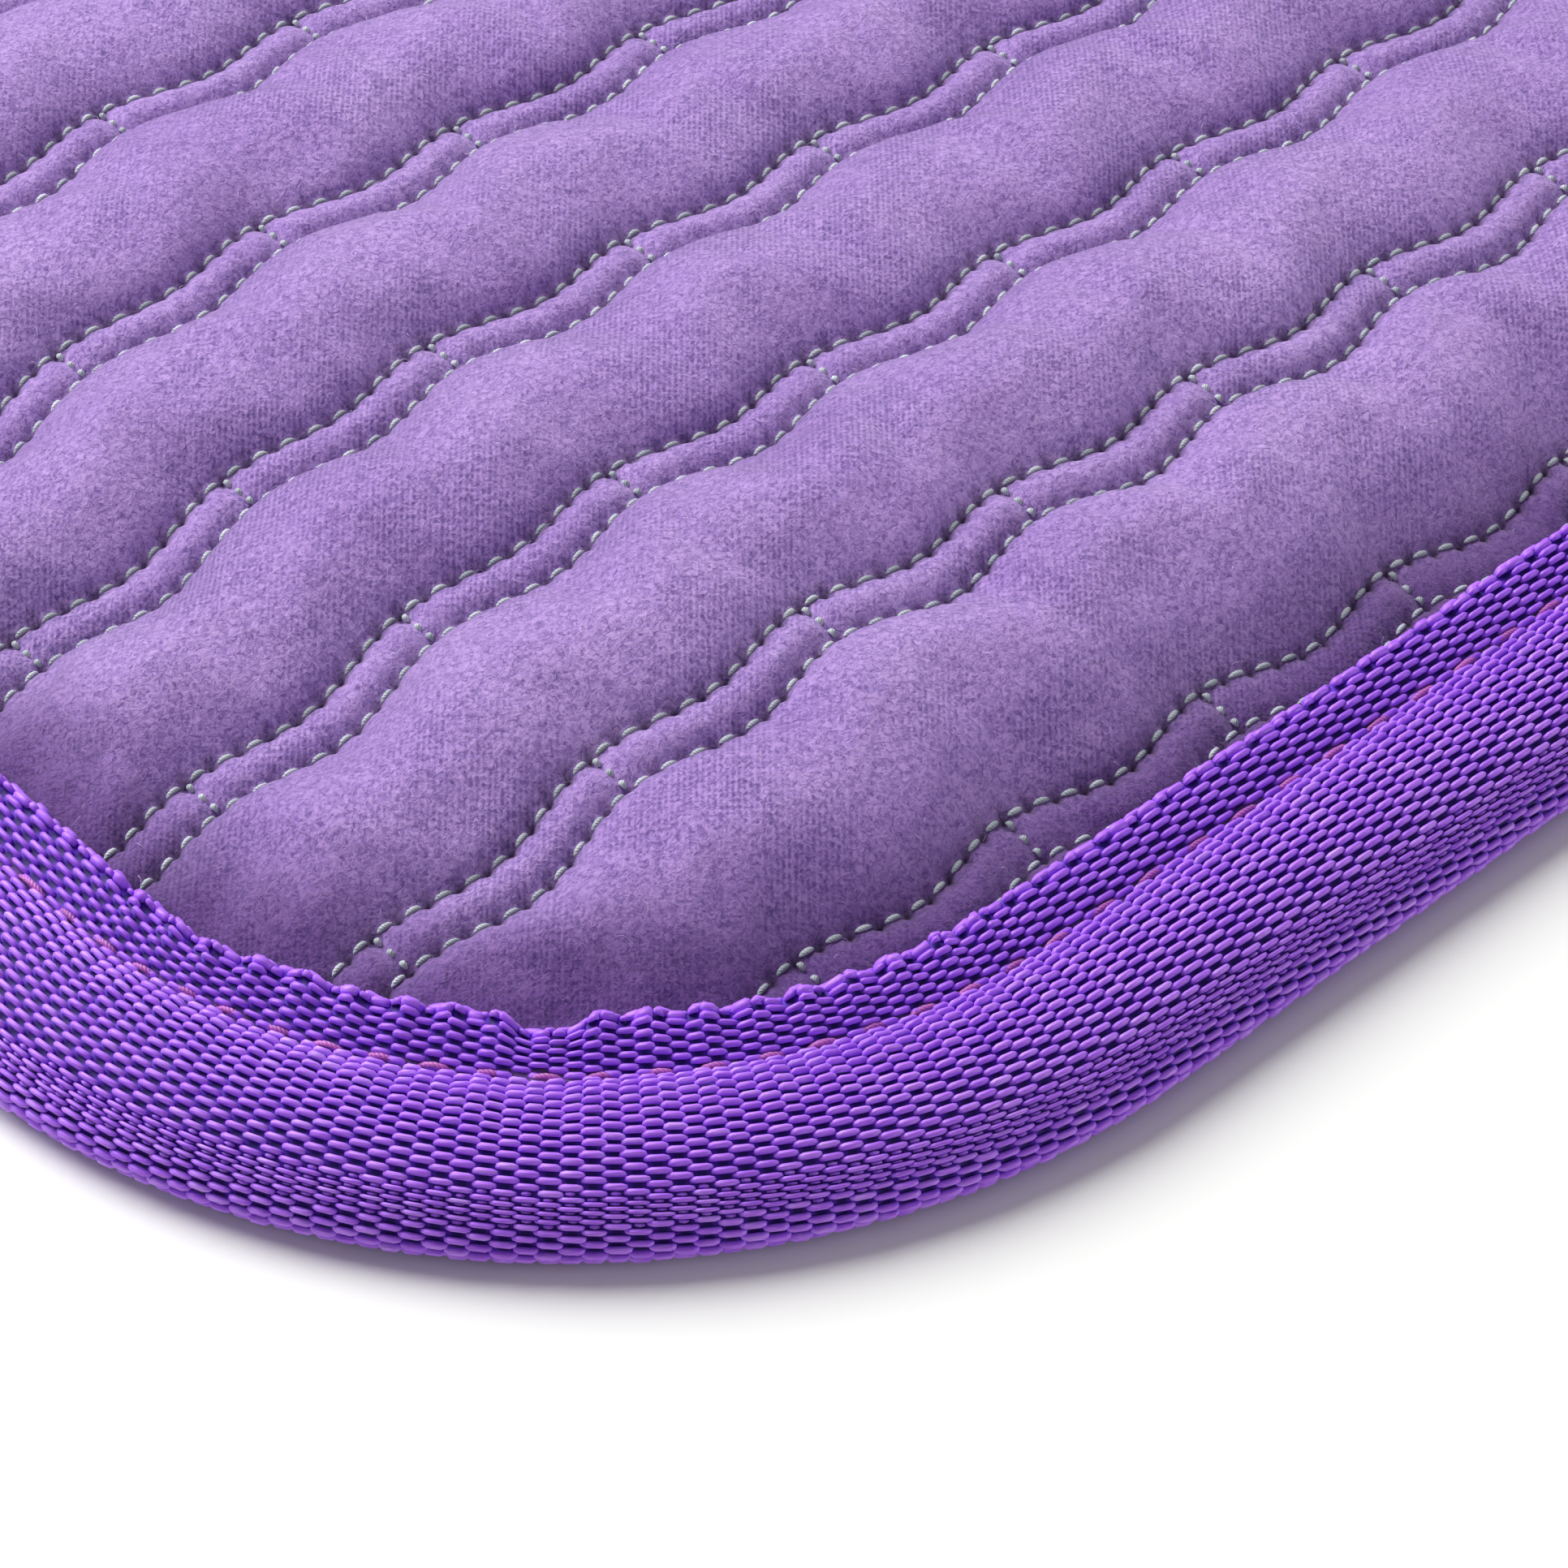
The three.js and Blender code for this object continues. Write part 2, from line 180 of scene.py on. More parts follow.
def give_tone(piece, name, values):
    """A number per point that a material reads as an attribute."""
    attribute = piece.data.attributes.new(name, "FLOAT", "POINT")
    attribute.data.foreach_set("value", np.asarray(values, np.float32))


def give_uv(piece, uv):
    """A UV map from one pair of millimetre lengths per point."""
    layer = piece.data.uv_layers.new(name="thread")
    corners = np.zeros(len(piece.data.loops), np.int32)
    piece.data.loops.foreach_get("vertex_index", corners)
    layer.data.foreach_set("uv", np.asarray(uv, np.float32)[corners].ravel())


def grid_faces(rows, columns, closed=False):
    """Quads of a grid whose points run row by row; closed joins the last row to the first."""
    last = rows if closed else rows - 1
    i = np.arange(last)[:, None]
    j = np.arange(columns - 1)[None, :]
    a = i * columns + j
    b = ((i + 1) % rows) * columns + j
    return np.stack([a, b, b + 1, a + 1], -1).reshape(-1, 4)


def finish_piece(piece, material, nodes=()):
    """Gives a piece its material, its body and the CAD nodes it replaces."""
    piece.data.materials.append(material)
    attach(piece, "root")
    if nodes:
        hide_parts(*nodes)


# ---- Materials ------------------------------------------------------------


def colour(hex_value):
    """Linear colour from an sRGB hex value such as "#9A74C0"."""
    parts = [int(hex_value[i : i + 2], 16) / 255 for i in (1, 3, 5)]
    linear = [p / 12.92 if p <= 0.04045 else ((p + 0.055) / 1.055) ** 2.4 for p in parts]
    return (*linear, 1.0)


def hue(name, description, hex_value):
    """A colour that the user can change, first set from an sRGB hex value."""
    return bpy.props.FloatVectorProperty(
        name=name, description=description, default=colour(hex_value), subtype="COLOR", size=4, min=0, max=1
    )


def add_node(tree, kind, output, inputs, stops=(), **settings):
    """Adds a node, sets its properties, and links or sets its inputs by name or number. stops are
    a ramp's (place, colour) pairs, each colour a hex value or a setting. Returns one output."""
    node = tree.nodes.new("ShaderNode" + kind)
    for key, value in settings.items():
        setattr(node, key, value)
    for key, value in inputs.items():
        if isinstance(value, bpy.types.NodeSocket):
            tree.links.new(value, node.inputs[key])
        else:
            node.inputs[key].default_value = value
    for _ in stops[2:]:
        node.color_ramp.elements.new(0.5)
    for k, (place, shade) in enumerate(stops):
        node.color_ramp.elements[k].position = place
        node.color_ramp.elements[k].color = colour(shade) if isinstance(shade, str) else shade
    return node.outputs[output]


def new_material(name, **shader_values):
    """A material, its node tree and its shader, whose inputs are set by name."""
    material = bpy.data.materials.new(name)
    material.use_nodes = True
    tree = material.node_tree
    shader = tree.nodes["Principled BSDF"]
    for key, value in shader_values.items():
        shader.inputs[key.replace("_", " ")].default_value = value
    return material, tree, shader


def per_metre(size_mm):
    """Scale of a texture on coordinates in metres whose features are size_mm across."""
    return 1.0 / (size_mm * MM)


KNIT_PITCH = 0.55
COURSE_PITCH = 1.3 * KNIT_PITCH
KNIT_SKEW = math.radians(42.0)
PLY_SLANT = 0.9
FILAMENT_STRETCH = (0.55, 9.0, 1.0)  # streaks 16 times as long as they are wide
WAVES_PER_UNIT = 0.314  # a wave texture of scale 1 repeats every 0.314 units


def velour_material(settings):
    """Lilac polyester velour, cropped and brushed: short tangled pile over a fine knit
    whose wales run across the pad on the skew, faint clouds where the pile leans, painted
    light and shade by slope (paler on slopes facing away from the key light, darker on
    slopes facing it), painted shade beside the tape and along the seams and needle holes,
    dark flecks between the tufts and a pale sheen."""
    material, tree, shader = new_material(
        "lilac_velour_cropped_brushed",
        Roughness=0.95,
        Sheen_Weight=0.6,
        Sheen_Roughness=0.5,
        Sheen_Tint=colour("#E4D2F6"),
        Specular_IOR_Level=0.12,
    )
    place = add_node(tree, "TexCoord", "Object", {})
    leaning, tangle, flecks, patchy, soft = (
        add_node(
            tree,
            "TexNoise",
            "Fac",
            {
                "Vector": place,
                "Scale": per_metre(size),
                "Detail": detail,
                "Roughness": roughness,
                "Distortion": distortion,
            },
        )
        for size, detail, roughness, distortion in (
            (22.0, 3.0, 0.55, 0.0),
            (0.6, 4.0, 0.7, 0.9),
            (0.42, 3.0, 0.6, 0.8),
            (14.0, 3.0, 0.55, 0.0),
            (2.6, 3.0, 0.55, 0.0),
        )
    )
    lean_stops = [(0.3, settings.shade), (0.5, settings.colour), (0.72, settings.light)]
    base = add_node(tree, "ValToRGB", "Color", {"Fac": leaning}, lean_stops)
    skewed = add_node(tree, "Mapping", "Vector", {"Vector": place, "Rotation": (0, 0, KNIT_SKEW)})
    wales, courses = (
        add_node(
            tree,
            "TexWave",
            "Fac",
            {
                "Vector": skewed,
                "Scale": WAVES_PER_UNIT * per_metre(pitch),
                "Distortion": 0.9,
                "Detail": 1.0,
                "Detail Scale": 2.0,
            },
            bands_direction=direction,
        )
        for direction, pitch in (("X", KNIT_PITCH), ("Y", COURSE_PITCH))
    )
    patch_stops = [(0.42, "#000000"), (0.62, "#FFFFFF")]
    patches = add_node(tree, "ValToRGB", "Color", {"Fac": patchy}, patch_stops)
    open_courses = add_node(tree, "Math", "Value", {0: courses, 1: 0.6}, operation="ADD")
    loops = add_node(tree, "Math", "Value", {0: wales, 1: open_courses}, operation="MULTIPLY")
    worn_loops = add_node(tree, "Math", "Value", {0: loops, 1: patches}, operation="MULTIPLY")
    knit = add_node(tree, "Math", "Value", {0: worn_loops, 1: 0.1}, operation="MULTIPLY")
    pile = add_node(tree, "Math", "Value", {0: tangle, 1: knit}, operation="SUBTRACT")
    tuft_stops = [(0.29, "#7D719E"), (0.44, "#CAC3DB"), (0.59, "#FFFFFF")]
    tufts = add_node(tree, "ValToRGB", "Color", {"Fac": pile}, tuft_stops)
    fleck_stops = [(0.0, "#FFFFFF"), (0.34, "#FFFFFF"), (0.43, "#000000")]
    fleck_mask = add_node(tree, "ValToRGB", "Color", {"Fac": flecks}, fleck_stops)
    fleck_share = add_node(tree, "Math", "Value", {0: fleck_mask, 1: 0.72}, operation="MULTIPLY")
    painted_slope_shading, painted_tape_shade, pinch_and_painted_shade = (
        add_node(tree, "Attribute", "Fac", {}, attribute_name=name)
        for name in ("painted_slope_shading", "painted_tape_shade", "pinch_and_painted_shade")
    )
    # Painted light and shade by slope: slopes that face away from the key light stay pale, and the flat
    # colour darkens slopes that face it.
    painted_slope_stops = [(0.1, settings.flat), (0.9, "#FFFFFF")]
    painted_slope_colour = add_node(tree, "ValToRGB", "Color", {"Fac": painted_slope_shading}, painted_slope_stops)
    shade = base
    # Layers over the base: pile tufts, flecks, painted slope light and shade, painted shade beside the tape,
    # and painted shade along the seams and at the needle holes.
    for blend, share, layer in (
        ("MULTIPLY", 0.85, tufts),
        ("MIX", fleck_share, settings.fleck),
        ("MULTIPLY", 1.0, painted_slope_colour),
        ("MULTIPLY", painted_tape_shade, settings.painted_tape_shade),
        ("MIX", pinch_and_painted_shade, settings.hole),
    ):
        layers = {0: share, 6: shade, 7: layer}
        shade = add_node(tree, "Mix", 2, layers, data_type="RGBA", blend_type=blend)
    tree.links.new(shade, shader.inputs["Base Color"])
    rough = {"Strength": 0.7, "Distance": 0.3 * MM, "Height": pile}
    bump = add_node(tree, "Bump", "Normal", rough)
    billow = {"Strength": 0.45, "Distance": 0.5 * MM, "Height": soft, "Normal": bump}
    tree.links.new(add_node(tree, "Bump", "Normal", billow), shader.inputs["Normal"])
    return material


def finish_material(tree, shader, factor, stops, strength, depth_mm, height):
    """Joins a ramp of colours along factor and a relief to a shader."""
    shade = add_node(tree, "ValToRGB", "Color", {"Fac": factor}, stops)
    tree.links.new(shade, shader.inputs["Base Color"])
    relief = {"Strength": strength, "Distance": depth_mm * MM, "Height": height}
    tree.links.new(add_node(tree, "Bump", "Normal", relief), shader.inputs["Normal"])


def toned(tree, fine, fine_share):
    """A fine pattern blended with the tone that each stitch or float carries."""
    tone = add_node(tree, "Attribute", "Fac", {}, attribute_name="tone")
    parts = [
        add_node(tree, "Math", "Value", {0: part, 1: share}, operation="MULTIPLY")
        for part, share in ((fine, fine_share), (tone, 1.0 - fine_share))
    ]
    return add_node(tree, "Math", "Value", {0: parts[0], 1: parts[1]}, operation="ADD")


def thread_material(name, light, dark, twist_mm, roughness):
    """Twisted filament thread: fine slanting plies along each stitch, and a slight
    change of tone from one stitch to the next."""
    material, tree, shader = new_material(name, Roughness=roughness, Sheen_Weight=0.2, Specular_IOR_Level=0.4)
    uv = add_node(tree, "UVMap", "UV", {}, uv_map="thread")
    slanted = add_node(tree, "Mapping", "Vector", {"Vector": uv, "Rotation": (0, 0, PLY_SLANT)})
    twist = {"Vector": slanted, "Scale": WAVES_PER_UNIT / twist_mm, "Distortion": 1.5}
    plies = add_node(tree, "TexWave", "Fac", twist)
    finish_material(tree, shader, toned(tree, plies, 0.45), [(0.15, dark), (0.85, light)], 0.4, 0.1, plies)
    return material


def webbing_material(settings):
    """Violet polypropylene multifilament, plain woven: each float is a bundle of
    fine glossy filaments that run along the tape."""
    material, tree, shader = new_material(
        "violet_webbing_yarn_woven", Roughness=0.42, Sheen_Weight=0.12, Specular_IOR_Level=0.45
    )
    uv = add_node(tree, "UVMap", "UV", {}, uv_map="thread")
    streaks = add_node(tree, "Mapping", "Vector", {"Vector": uv, "Scale": FILAMENT_STRETCH})
    filaments = add_node(tree, "TexNoise", "Fac", {"Vector": streaks, "Scale": 1.0, "Detail": 4.0})
    stops = [(0.25, settings.shade), (0.5, settings.colour), (0.78, settings.light)]
    finish_material(tree, shader, toned(tree, filaments, 0.7), stops, 0.5, 0.12, filaments)
    return material


def tape_ground_material(settings):
    """The same webbing seen deep between its floats: violet weft ribs, painted darker than the floats as
    shade in the gaps.
    """
    material, tree, shader = new_material("violet_webbing_weft_ground", Roughness=0.7)
    uv = add_node(tree, "UVMap", "UV", {}, uv_map="thread")
    rib_row = {"Vector": uv, "Scale": WAVES_PER_UNIT / PICK_SPACING, "Distortion": 0.6}
    ribs = add_node(tree, "TexWave", "Fac", rib_row)
    finish_material(tree, shader, ribs, [(0.2, settings.gap), (0.9, settings.weft)], 0.5, 0.2, ribs)
    return material


def backing_material(settings):
    """Plum polyester oxford cloth, plain woven with a dull proofed face."""
    material, tree, shader = new_material(
        "plum_oxford_cloth_woven_proofed", Roughness=0.78, Sheen_Weight=0.15
    )
    place = add_node(tree, "TexCoord", "Object", {})
    thread_row = {"Vector": place, "Scale": WAVES_PER_UNIT / settings.weave}
    ends, picks = (
        add_node(tree, "TexWave", "Fac", thread_row, bands_direction=direction)
        for direction in "XY"
    )
    weave = add_node(tree, "Math", "Value", {0: ends, 1: picks}, operation="MULTIPLY")
    clouds = {"Vector": place, "Scale": per_metre(30.0), "Detail": 3.0, "Roughness": 0.55}
    cloudy = add_node(tree, "TexNoise", "Fac", clouds)
    cloth_stops = [(0.3, settings.shade), (0.7, settings.colour)]
    cloth = add_node(tree, "ValToRGB", "Color", {"Fac": cloudy}, cloth_stops)
    weave_stops = [(0.0, "#8A8A8A"), (0.6, "#FFFFFF")]
    relief = add_node(tree, "ValToRGB", "Color", {"Fac": weave}, weave_stops)
    layers = {0: 0.8, 6: cloth, 7: relief}
    woven = add_node(tree, "Mix", 2, layers, data_type="RGBA", blend_type="MULTIPLY")
    tree.links.new(woven, shader.inputs["Base Color"])
    bump = {"Strength": 0.6, "Distance": 0.25 * MM, "Height": weave}
    tree.links.new(add_node(tree, "Bump", "Normal", bump), shader.inputs["Normal"])
    return material


def fibre_material(name, light, dark, size_mm, strength):
    """Matted polyester fibre or thin bonded scrim: pale, dull and woolly."""
    material, tree, shader = new_material(name, Roughness=0.95, Sheen_Weight=0.25)
    place = add_node(tree, "TexCoord", "Object", {})
    clumping = {"Vector": place, "Scale": per_metre(size_mm), "Detail": 6.0, "Roughness": 0.7}
    clumps = add_node(tree, "TexNoise", "Fac", clumping)
    finish_material(tree, shader, clumps, [(0.3, dark), (0.7, light)], strength, 0.6, clumps)
    return material


def foam_material():
    """Grey closed-cell polyethylene foam, sliced: a fine froth of 1.2 mm cells."""
    material, tree, shader = new_material("grey_polyethylene_foam_sliced", Roughness=0.85)
    place = add_node(tree, "TexCoord", "Object", {})
    froth = {"Vector": place, "Scale": per_metre(1.2)}
    walls = add_node(tree, "TexVoronoi", "Distance", froth)
    finish_material(tree, shader, walls, [(0.1, "#4B4E52"), (0.7, "#6A6D72")], 0.5, 0.3, walls)
    return material


# ---- Quilted layers -------------------------------------------------------

COVER_INSET = 9.0
COVER_THICKNESS = 0.7
FINE_STEP = REPEAT / 27
COARSE_STEP = REPEAT / 13
FINE_CHANNEL = 1.45
COARSE_CHANNEL = 2.0
GRID_MARGIN = 3.0

CREST_STAY = 0.5  # how much less a puff's crest sways than its seams
PUFF_ROUNDNESS = 0.84
PUFF_UNEVEN = ((0.07, 55.0), (0.05, 24.0))  # share of the height and length of each swell
LADDER_PUFF = 0.75
LADDER_ROUNDNESS = 0.6
END_SLOPE = 17.0
END_ROUNDNESS = 0.8
PUCKER_HEIGHT = 0.16
PUCKER_PITCH = 9.0
GATHER_HEIGHT = 0.4
GATHER_PITCH = 6.5
GATHER_REACH = 24.0
CREASE_STRETCH = 0.35

SETTLE_FRAMES = 12
SLACK_CAP = 1.6
SLACK_SHARE = 0.42


def line_between(low, high, spacing):
    """Evenly spaced values strictly between two others, about spacing apart."""
    count = max(int(round((high - low) / spacing)), 1)
    return np.linspace(low, high, count + 1)[1:-1]


def quilt_lines(rail_offsets, ladder_middle, channel_spacing):
    """Rows of the quilted grid, gathered round each rail and even in the channels."""
    reach = max(rail_offsets)
    lines = []
    for centre in ROW_CENTRES:
        for rail in (centre - RAIL_HALF, centre + RAIL_HALF):
            lines.extend(rail + offset for offset in rail_offsets)
        lines.extend(centre + offset for offset in ladder_middle)
    outer = HALF_WIDTH - COVER_INSET + GRID_MARGIN
    gathered = RAIL_HALF + reach
    stops = [-outer, *[v for c in ROW_CENTRES for v in (c - gathered, c + gathered)], outer]
    for low, high in zip(stops[::2], stops[1::2]):
        lines.extend(line_between(low, high, channel_spacing))
    lines.extend([-outer, outer])
    return np.unique(np.round(lines, 4))


def quilt_columns(step):
    """Columns of the quilted grid, a whole number of them to each repeat of the wave."""
    reach = HALF_LENGTH - COVER_INSET + 2
    first = math.ceil((-reach - FIRST_RUNG) / step)
    last = math.floor((reach - FIRST_RUNG) / step)
    return FIRST_RUNG + step * np.arange(first, last + 1)


def coarse_grid():
    """Columns and rows for the relaxed cloth and for the layers under the cover."""
    return quilt_columns(COARSE_STEP), quilt_lines([0.0], [0.0], COARSE_CHANNEL)


def puff(x, v, puff_height):
    """Rise of the cover above its seams; v runs across the rows with the seams' sway left out."""
    lows = np.concatenate([[-HALF_WIDTH + TAPE_COVER - TAPE_LAP], ROW_CENTRES + RAIL_HALF])
    highs = np.concatenate([ROW_CENTRES - RAIL_HALF, [HALF_WIDTH - TAPE_COVER + TAPE_LAP]])
    full_chord = ROW_PITCH - 2 * RAIL_HALF
    inset = inset_at(x, v + wave(x))
    height = np.zeros(np.broadcast(x, v).shape)
    for k, (low, high) in enumerate(zip(lows, highs)):
        t = np.clip((v - low) / (high - low), 0, 1)
        t = np.clip(t + CREST_STAY * wave(x) / full_chord * np.sin(math.pi * t), 0, 1)
        size = min((high - low) / full_chord, 1.0)
        profile = np.sin(math.pi * t) ** PUFF_ROUNDNESS
        (long_share, long_swell), (short_share, short_swell) = PUFF_UNEVEN
        uneven = 1.0 + long_share * ripple(x, 0 * v, long_swell, SEED + k)
        uneven = uneven + short_share * ripple(x, v, short_swell, SEED + 40 + k)
        height = height + puff_height * size * profile * uneven
    for centre in ROW_CENTRES:
        t = np.clip((v - centre + RAIL_HALF) / (2 * RAIL_HALF), 0, 1)
        between_rungs = np.abs(np.sin(math.pi * (x - FIRST_RUNG) / REPEAT)) ** LADDER_ROUNDNESS
        height = height + LADDER_PUFF * np.sin(math.pi * t) * between_rungs
    return height * smooth((inset - TAPE_COVER + 1.5 * TAPE_LAP) / END_SLOPE) ** END_ROUNDNESS


def quilted_height(x, v, puff_height):
    """Height of the cover: its seams, its puffs, and the creases that the sewing leaves."""
    y = v + wave(x)
    puckers = PUCKER_HEIGHT * ripple(x, v * CREASE_STRETCH, PUCKER_PITCH, SEED + 90)
    gathered = smooth(1.0 - (inset_at(x, y) - TAPE_COVER) / GATHER_REACH)
    gathers = GATHER_HEIGHT * gathered * ripple(x * CREASE_STRETCH, v, GATHER_PITCH, SEED + 91)
    rise = puff(x, v, puff_height)
    held = np.minimum(rise / 2.0, 1.0)
    return seam_height(x, y) + rise + held * (puckers + gathers)


def puffed_grid(columns, rows, puff_height):
    """A grid's places along and across the rows, and the cover's points there."""
    x, v = np.meshgrid(columns, rows, indexing="ij")
    return x, v, np.stack([x, v + wave(x), quilted_height(x, v, puff_height)], -1)


CLOTH_SETTINGS = {
    "quality": 4,
    "mass": 0.25,
    "tension_stiffness": 12,
    "compression_stiffness": 12,
    "shear_stiffness": 4,
    "bending_stiffness": 0.35,
    "use_pressure": True,
    "uniform_pressure_force": 3.0,
    "shrink_min": -0.035,
    "vertex_group_mass": "seams",
}


def simulated_slack(columns, rows, puff_height):
    """Lets the cover relax as cloth with its seams held: how far each grid point moves."""
    x, v, start = puffed_grid(columns, rows, puff_height)
    cloth = new_mesh("cover_relaxing", start.reshape(-1, 3), grid_faces(len(columns), len(rows)))
    on_rail = from_rail(v) < 0.1
    on_rung = (from_rung(x) < 0.3) & (from_row(v) < RAIL_HALF + 0.1)
    pinned = on_rail | on_rung | (inset_at(x, start[..., 1]) < TAPE_COVER - TAPE_LAP)
    group = cloth.vertex_groups.new(name="seams")
    group.add(np.flatnonzero(pinned.ravel()).tolist(), 1.0, "REPLACE")
    modifier = cloth.modifiers.new("relax", "CLOTH")
    for key, value in CLOTH_SETTINGS.items():
        setattr(modifier.settings, key, value)
    modifier.settings.effector_weights.gravity = 0.0
    modifier.collision_settings.use_collision = False
    modifier.point_cache.frame_start = 1
    modifier.point_cache.frame_end = SETTLE_FRAMES
    scene = bpy.context.scene
    for step in range(1, SETTLE_FRAMES + 1):
        scene.frame_set(step)
    evaluated = cloth.evaluated_get(bpy.context.evaluated_depsgraph_get())
    moved = np.zeros(len(cloth.data.vertices) * 3, np.float32)
    evaluated.data.vertices.foreach_get("co", moved)
    slack = moved.reshape(start.shape) / MM - start
    scene.frame_set(1)
    bpy.data.objects.remove(cloth)
    reach = np.linalg.norm(slack, axis=-1, keepdims=True)
    return SLACK_SHARE * slack * np.minimum(1.0, SLACK_CAP / np.maximum(reach, 1e-9))


COVER_SLACK = {}


def cover_slack(puff_height):
    """The relaxed cloth's grid and movement, worked out once for all the layers that follow it."""
    if puff_height not in COVER_SLACK:
        columns, rows = coarse_grid()
        COVER_SLACK[puff_height] = (columns, rows, simulated_slack(columns, rows, puff_height))
    return COVER_SLACK[puff_height]


def spread(values, places):
    """Values smoothly interpolated along their first axis at fractional places."""
    low = np.clip(np.floor(places).astype(int), 0, len(values) - 2)
    t = (places - low).reshape(-1, *[1] * (values.ndim - 1))
    picks = [np.clip(low + k, 0, len(values) - 1) for k in (-1, 0, 1, 2)]
    return catmull_rom(*(values[p] for p in picks), t)


def quilted_sheet(columns, rows, puff_height):
    """Points of the quilted cover on a grid, with the relaxed cloth's movement added."""
    x, v, points = puffed_grid(columns, rows, puff_height)
    coarse_columns, coarse_rows, moved = cover_slack(puff_height)
    for fine, coarse in ((columns, coarse_columns), (rows, coarse_rows)):
        places = np.interp(fine, coarse, np.arange(len(coarse)))
        moved = spread(moved, places).transpose(1, 0, 2)
    points = points + moved
    return x, v, points


def trimmed_shell(name, points, inset, underside):
    """Closes a grid of top points with a lower face and walls, cut to the outline drawn in by
    inset. underside gives the lower face's height from x, y and the upper face's height."""
    rows, columns = points.shape[:2]
    flat = points.reshape(-1, 3).copy()
    faces = grid_faces(rows, columns)
    middle = flat[faces].mean(1)
    faces = faces[inset_at(middle[:, 0], middle[:, 1]) > inset]
    used = np.unique(faces)
    renumber = np.full(len(flat), -1)
    renumber[used] = np.arange(len(used))
    faces = renumber[faces]
    top = flat[used]
    edges = np.concatenate([faces[:, [k, (k + 1) % 4]] for k in range(4)])
    keys = edges[:, 0].astype(np.int64) * len(top) + edges[:, 1]
    back = edges[:, 1].astype(np.int64) * len(top) + edges[:, 0]
    rim = edges[~np.isin(keys, back)]
    rim_points = np.unique(rim)
    top[rim_points] = on_outline(top[rim_points], inset)
    bottom = top.copy()
    bottom[:, 2] = underside(*top.T)
    walls = np.stack([rim[:, 1], rim[:, 0], rim[:, 0] + len(top), rim[:, 1] + len(top)], -1)
    every = np.concatenate([faces, faces[:, ::-1] + len(top), walls])
    return new_mesh(name, np.concatenate([top, bottom]), every), used


def on_outline(points, inset):
    """Moves points sideways onto the outline drawn in by inset."""
    half = np.array([HALF_LENGTH, HALF_WIDTH]) - CORNER_RADIUS
    radius = CORNER_RADIUS - inset
    place = points[:, :2]
    core = np.clip(place, -half, half)
    away = place - core
    reach = np.maximum(np.linalg.norm(away, axis=1, keepdims=True), 1e-6)
    moved = points.copy()
    moved[:, :2] = core + away / reach * radius
    return moved


# ---- Operators: quilted layers --------------------------------------------


class PadCoverSettings(bpy.types.PropertyGroup):
    colour: hue("Velour", "Velour colour", "#CAA7EB")
    light: hue("Lit pile", "Pile leaning to the light", "#D2B1F1")
    shade: hue("Shaded pile", "Pile leaning away", "#C39EE6")
    # Painted shade: darkens the pile on slopes that face the key light, which evens out lit and shaded
    # slopes.
    flat: hue("Flat nap", "How much darker the pile is on a slope that lays it flat", "#CBC6CE")
    fleck: hue("Flecks", "Gaps between tufts", "#6F4B9C")
    # Painted shade: colour multiplied into the cover beside the tape, where the tape's lip rises over it.
    painted_tape_shade: hue("Crushed pile", "How much the pile darkens beside the tape", "#9579A3")
    # Painted shade: near-black mixed into the cover along the seams and at the needle holes.
    hole: hue("Needle holes", "Pile at the holes", "#140A20")
    puff: bpy.props.FloatProperty(
        name="Puff height", description="Rise between two seams", default=4.4 * MM, min=0, unit="LENGTH"
    )
    pinch_and_painted_shade: bpy.props.FloatProperty(
        name="Seam pinch", description="Depth of a seam's groove", default=0.6 * MM, min=0, unit="LENGTH"
    )


# How far in from the tape the painted shade reaches.
PAINTED_TAPE_SHADE_REACH = 16.0
# Strength of the painted slope light and shade.
PAINTED_SLOPE_GAIN = 0.56
GROOVE_HALF = 1.7
GROOVE_SHARE = 0.9
RUNG_GROOVE_HALF = 1.6
RUNG_GROOVE_SHARE = 0.8
HOLE_SHARE = 1.3
HOLE_SHARPNESS = 3.0
# Width of the painted seam shade, and how much of it shows between the needle holes.
PAINTED_SEAM_SHADE_HALF = 0.7
PAINTED_SEAM_SHADE_BETWEEN_HOLES = 0.2
SEAM_GATHERING = (-1.3, -0.55, 0.0, 0.55, 1.3)  # rows of the grid beside each rail


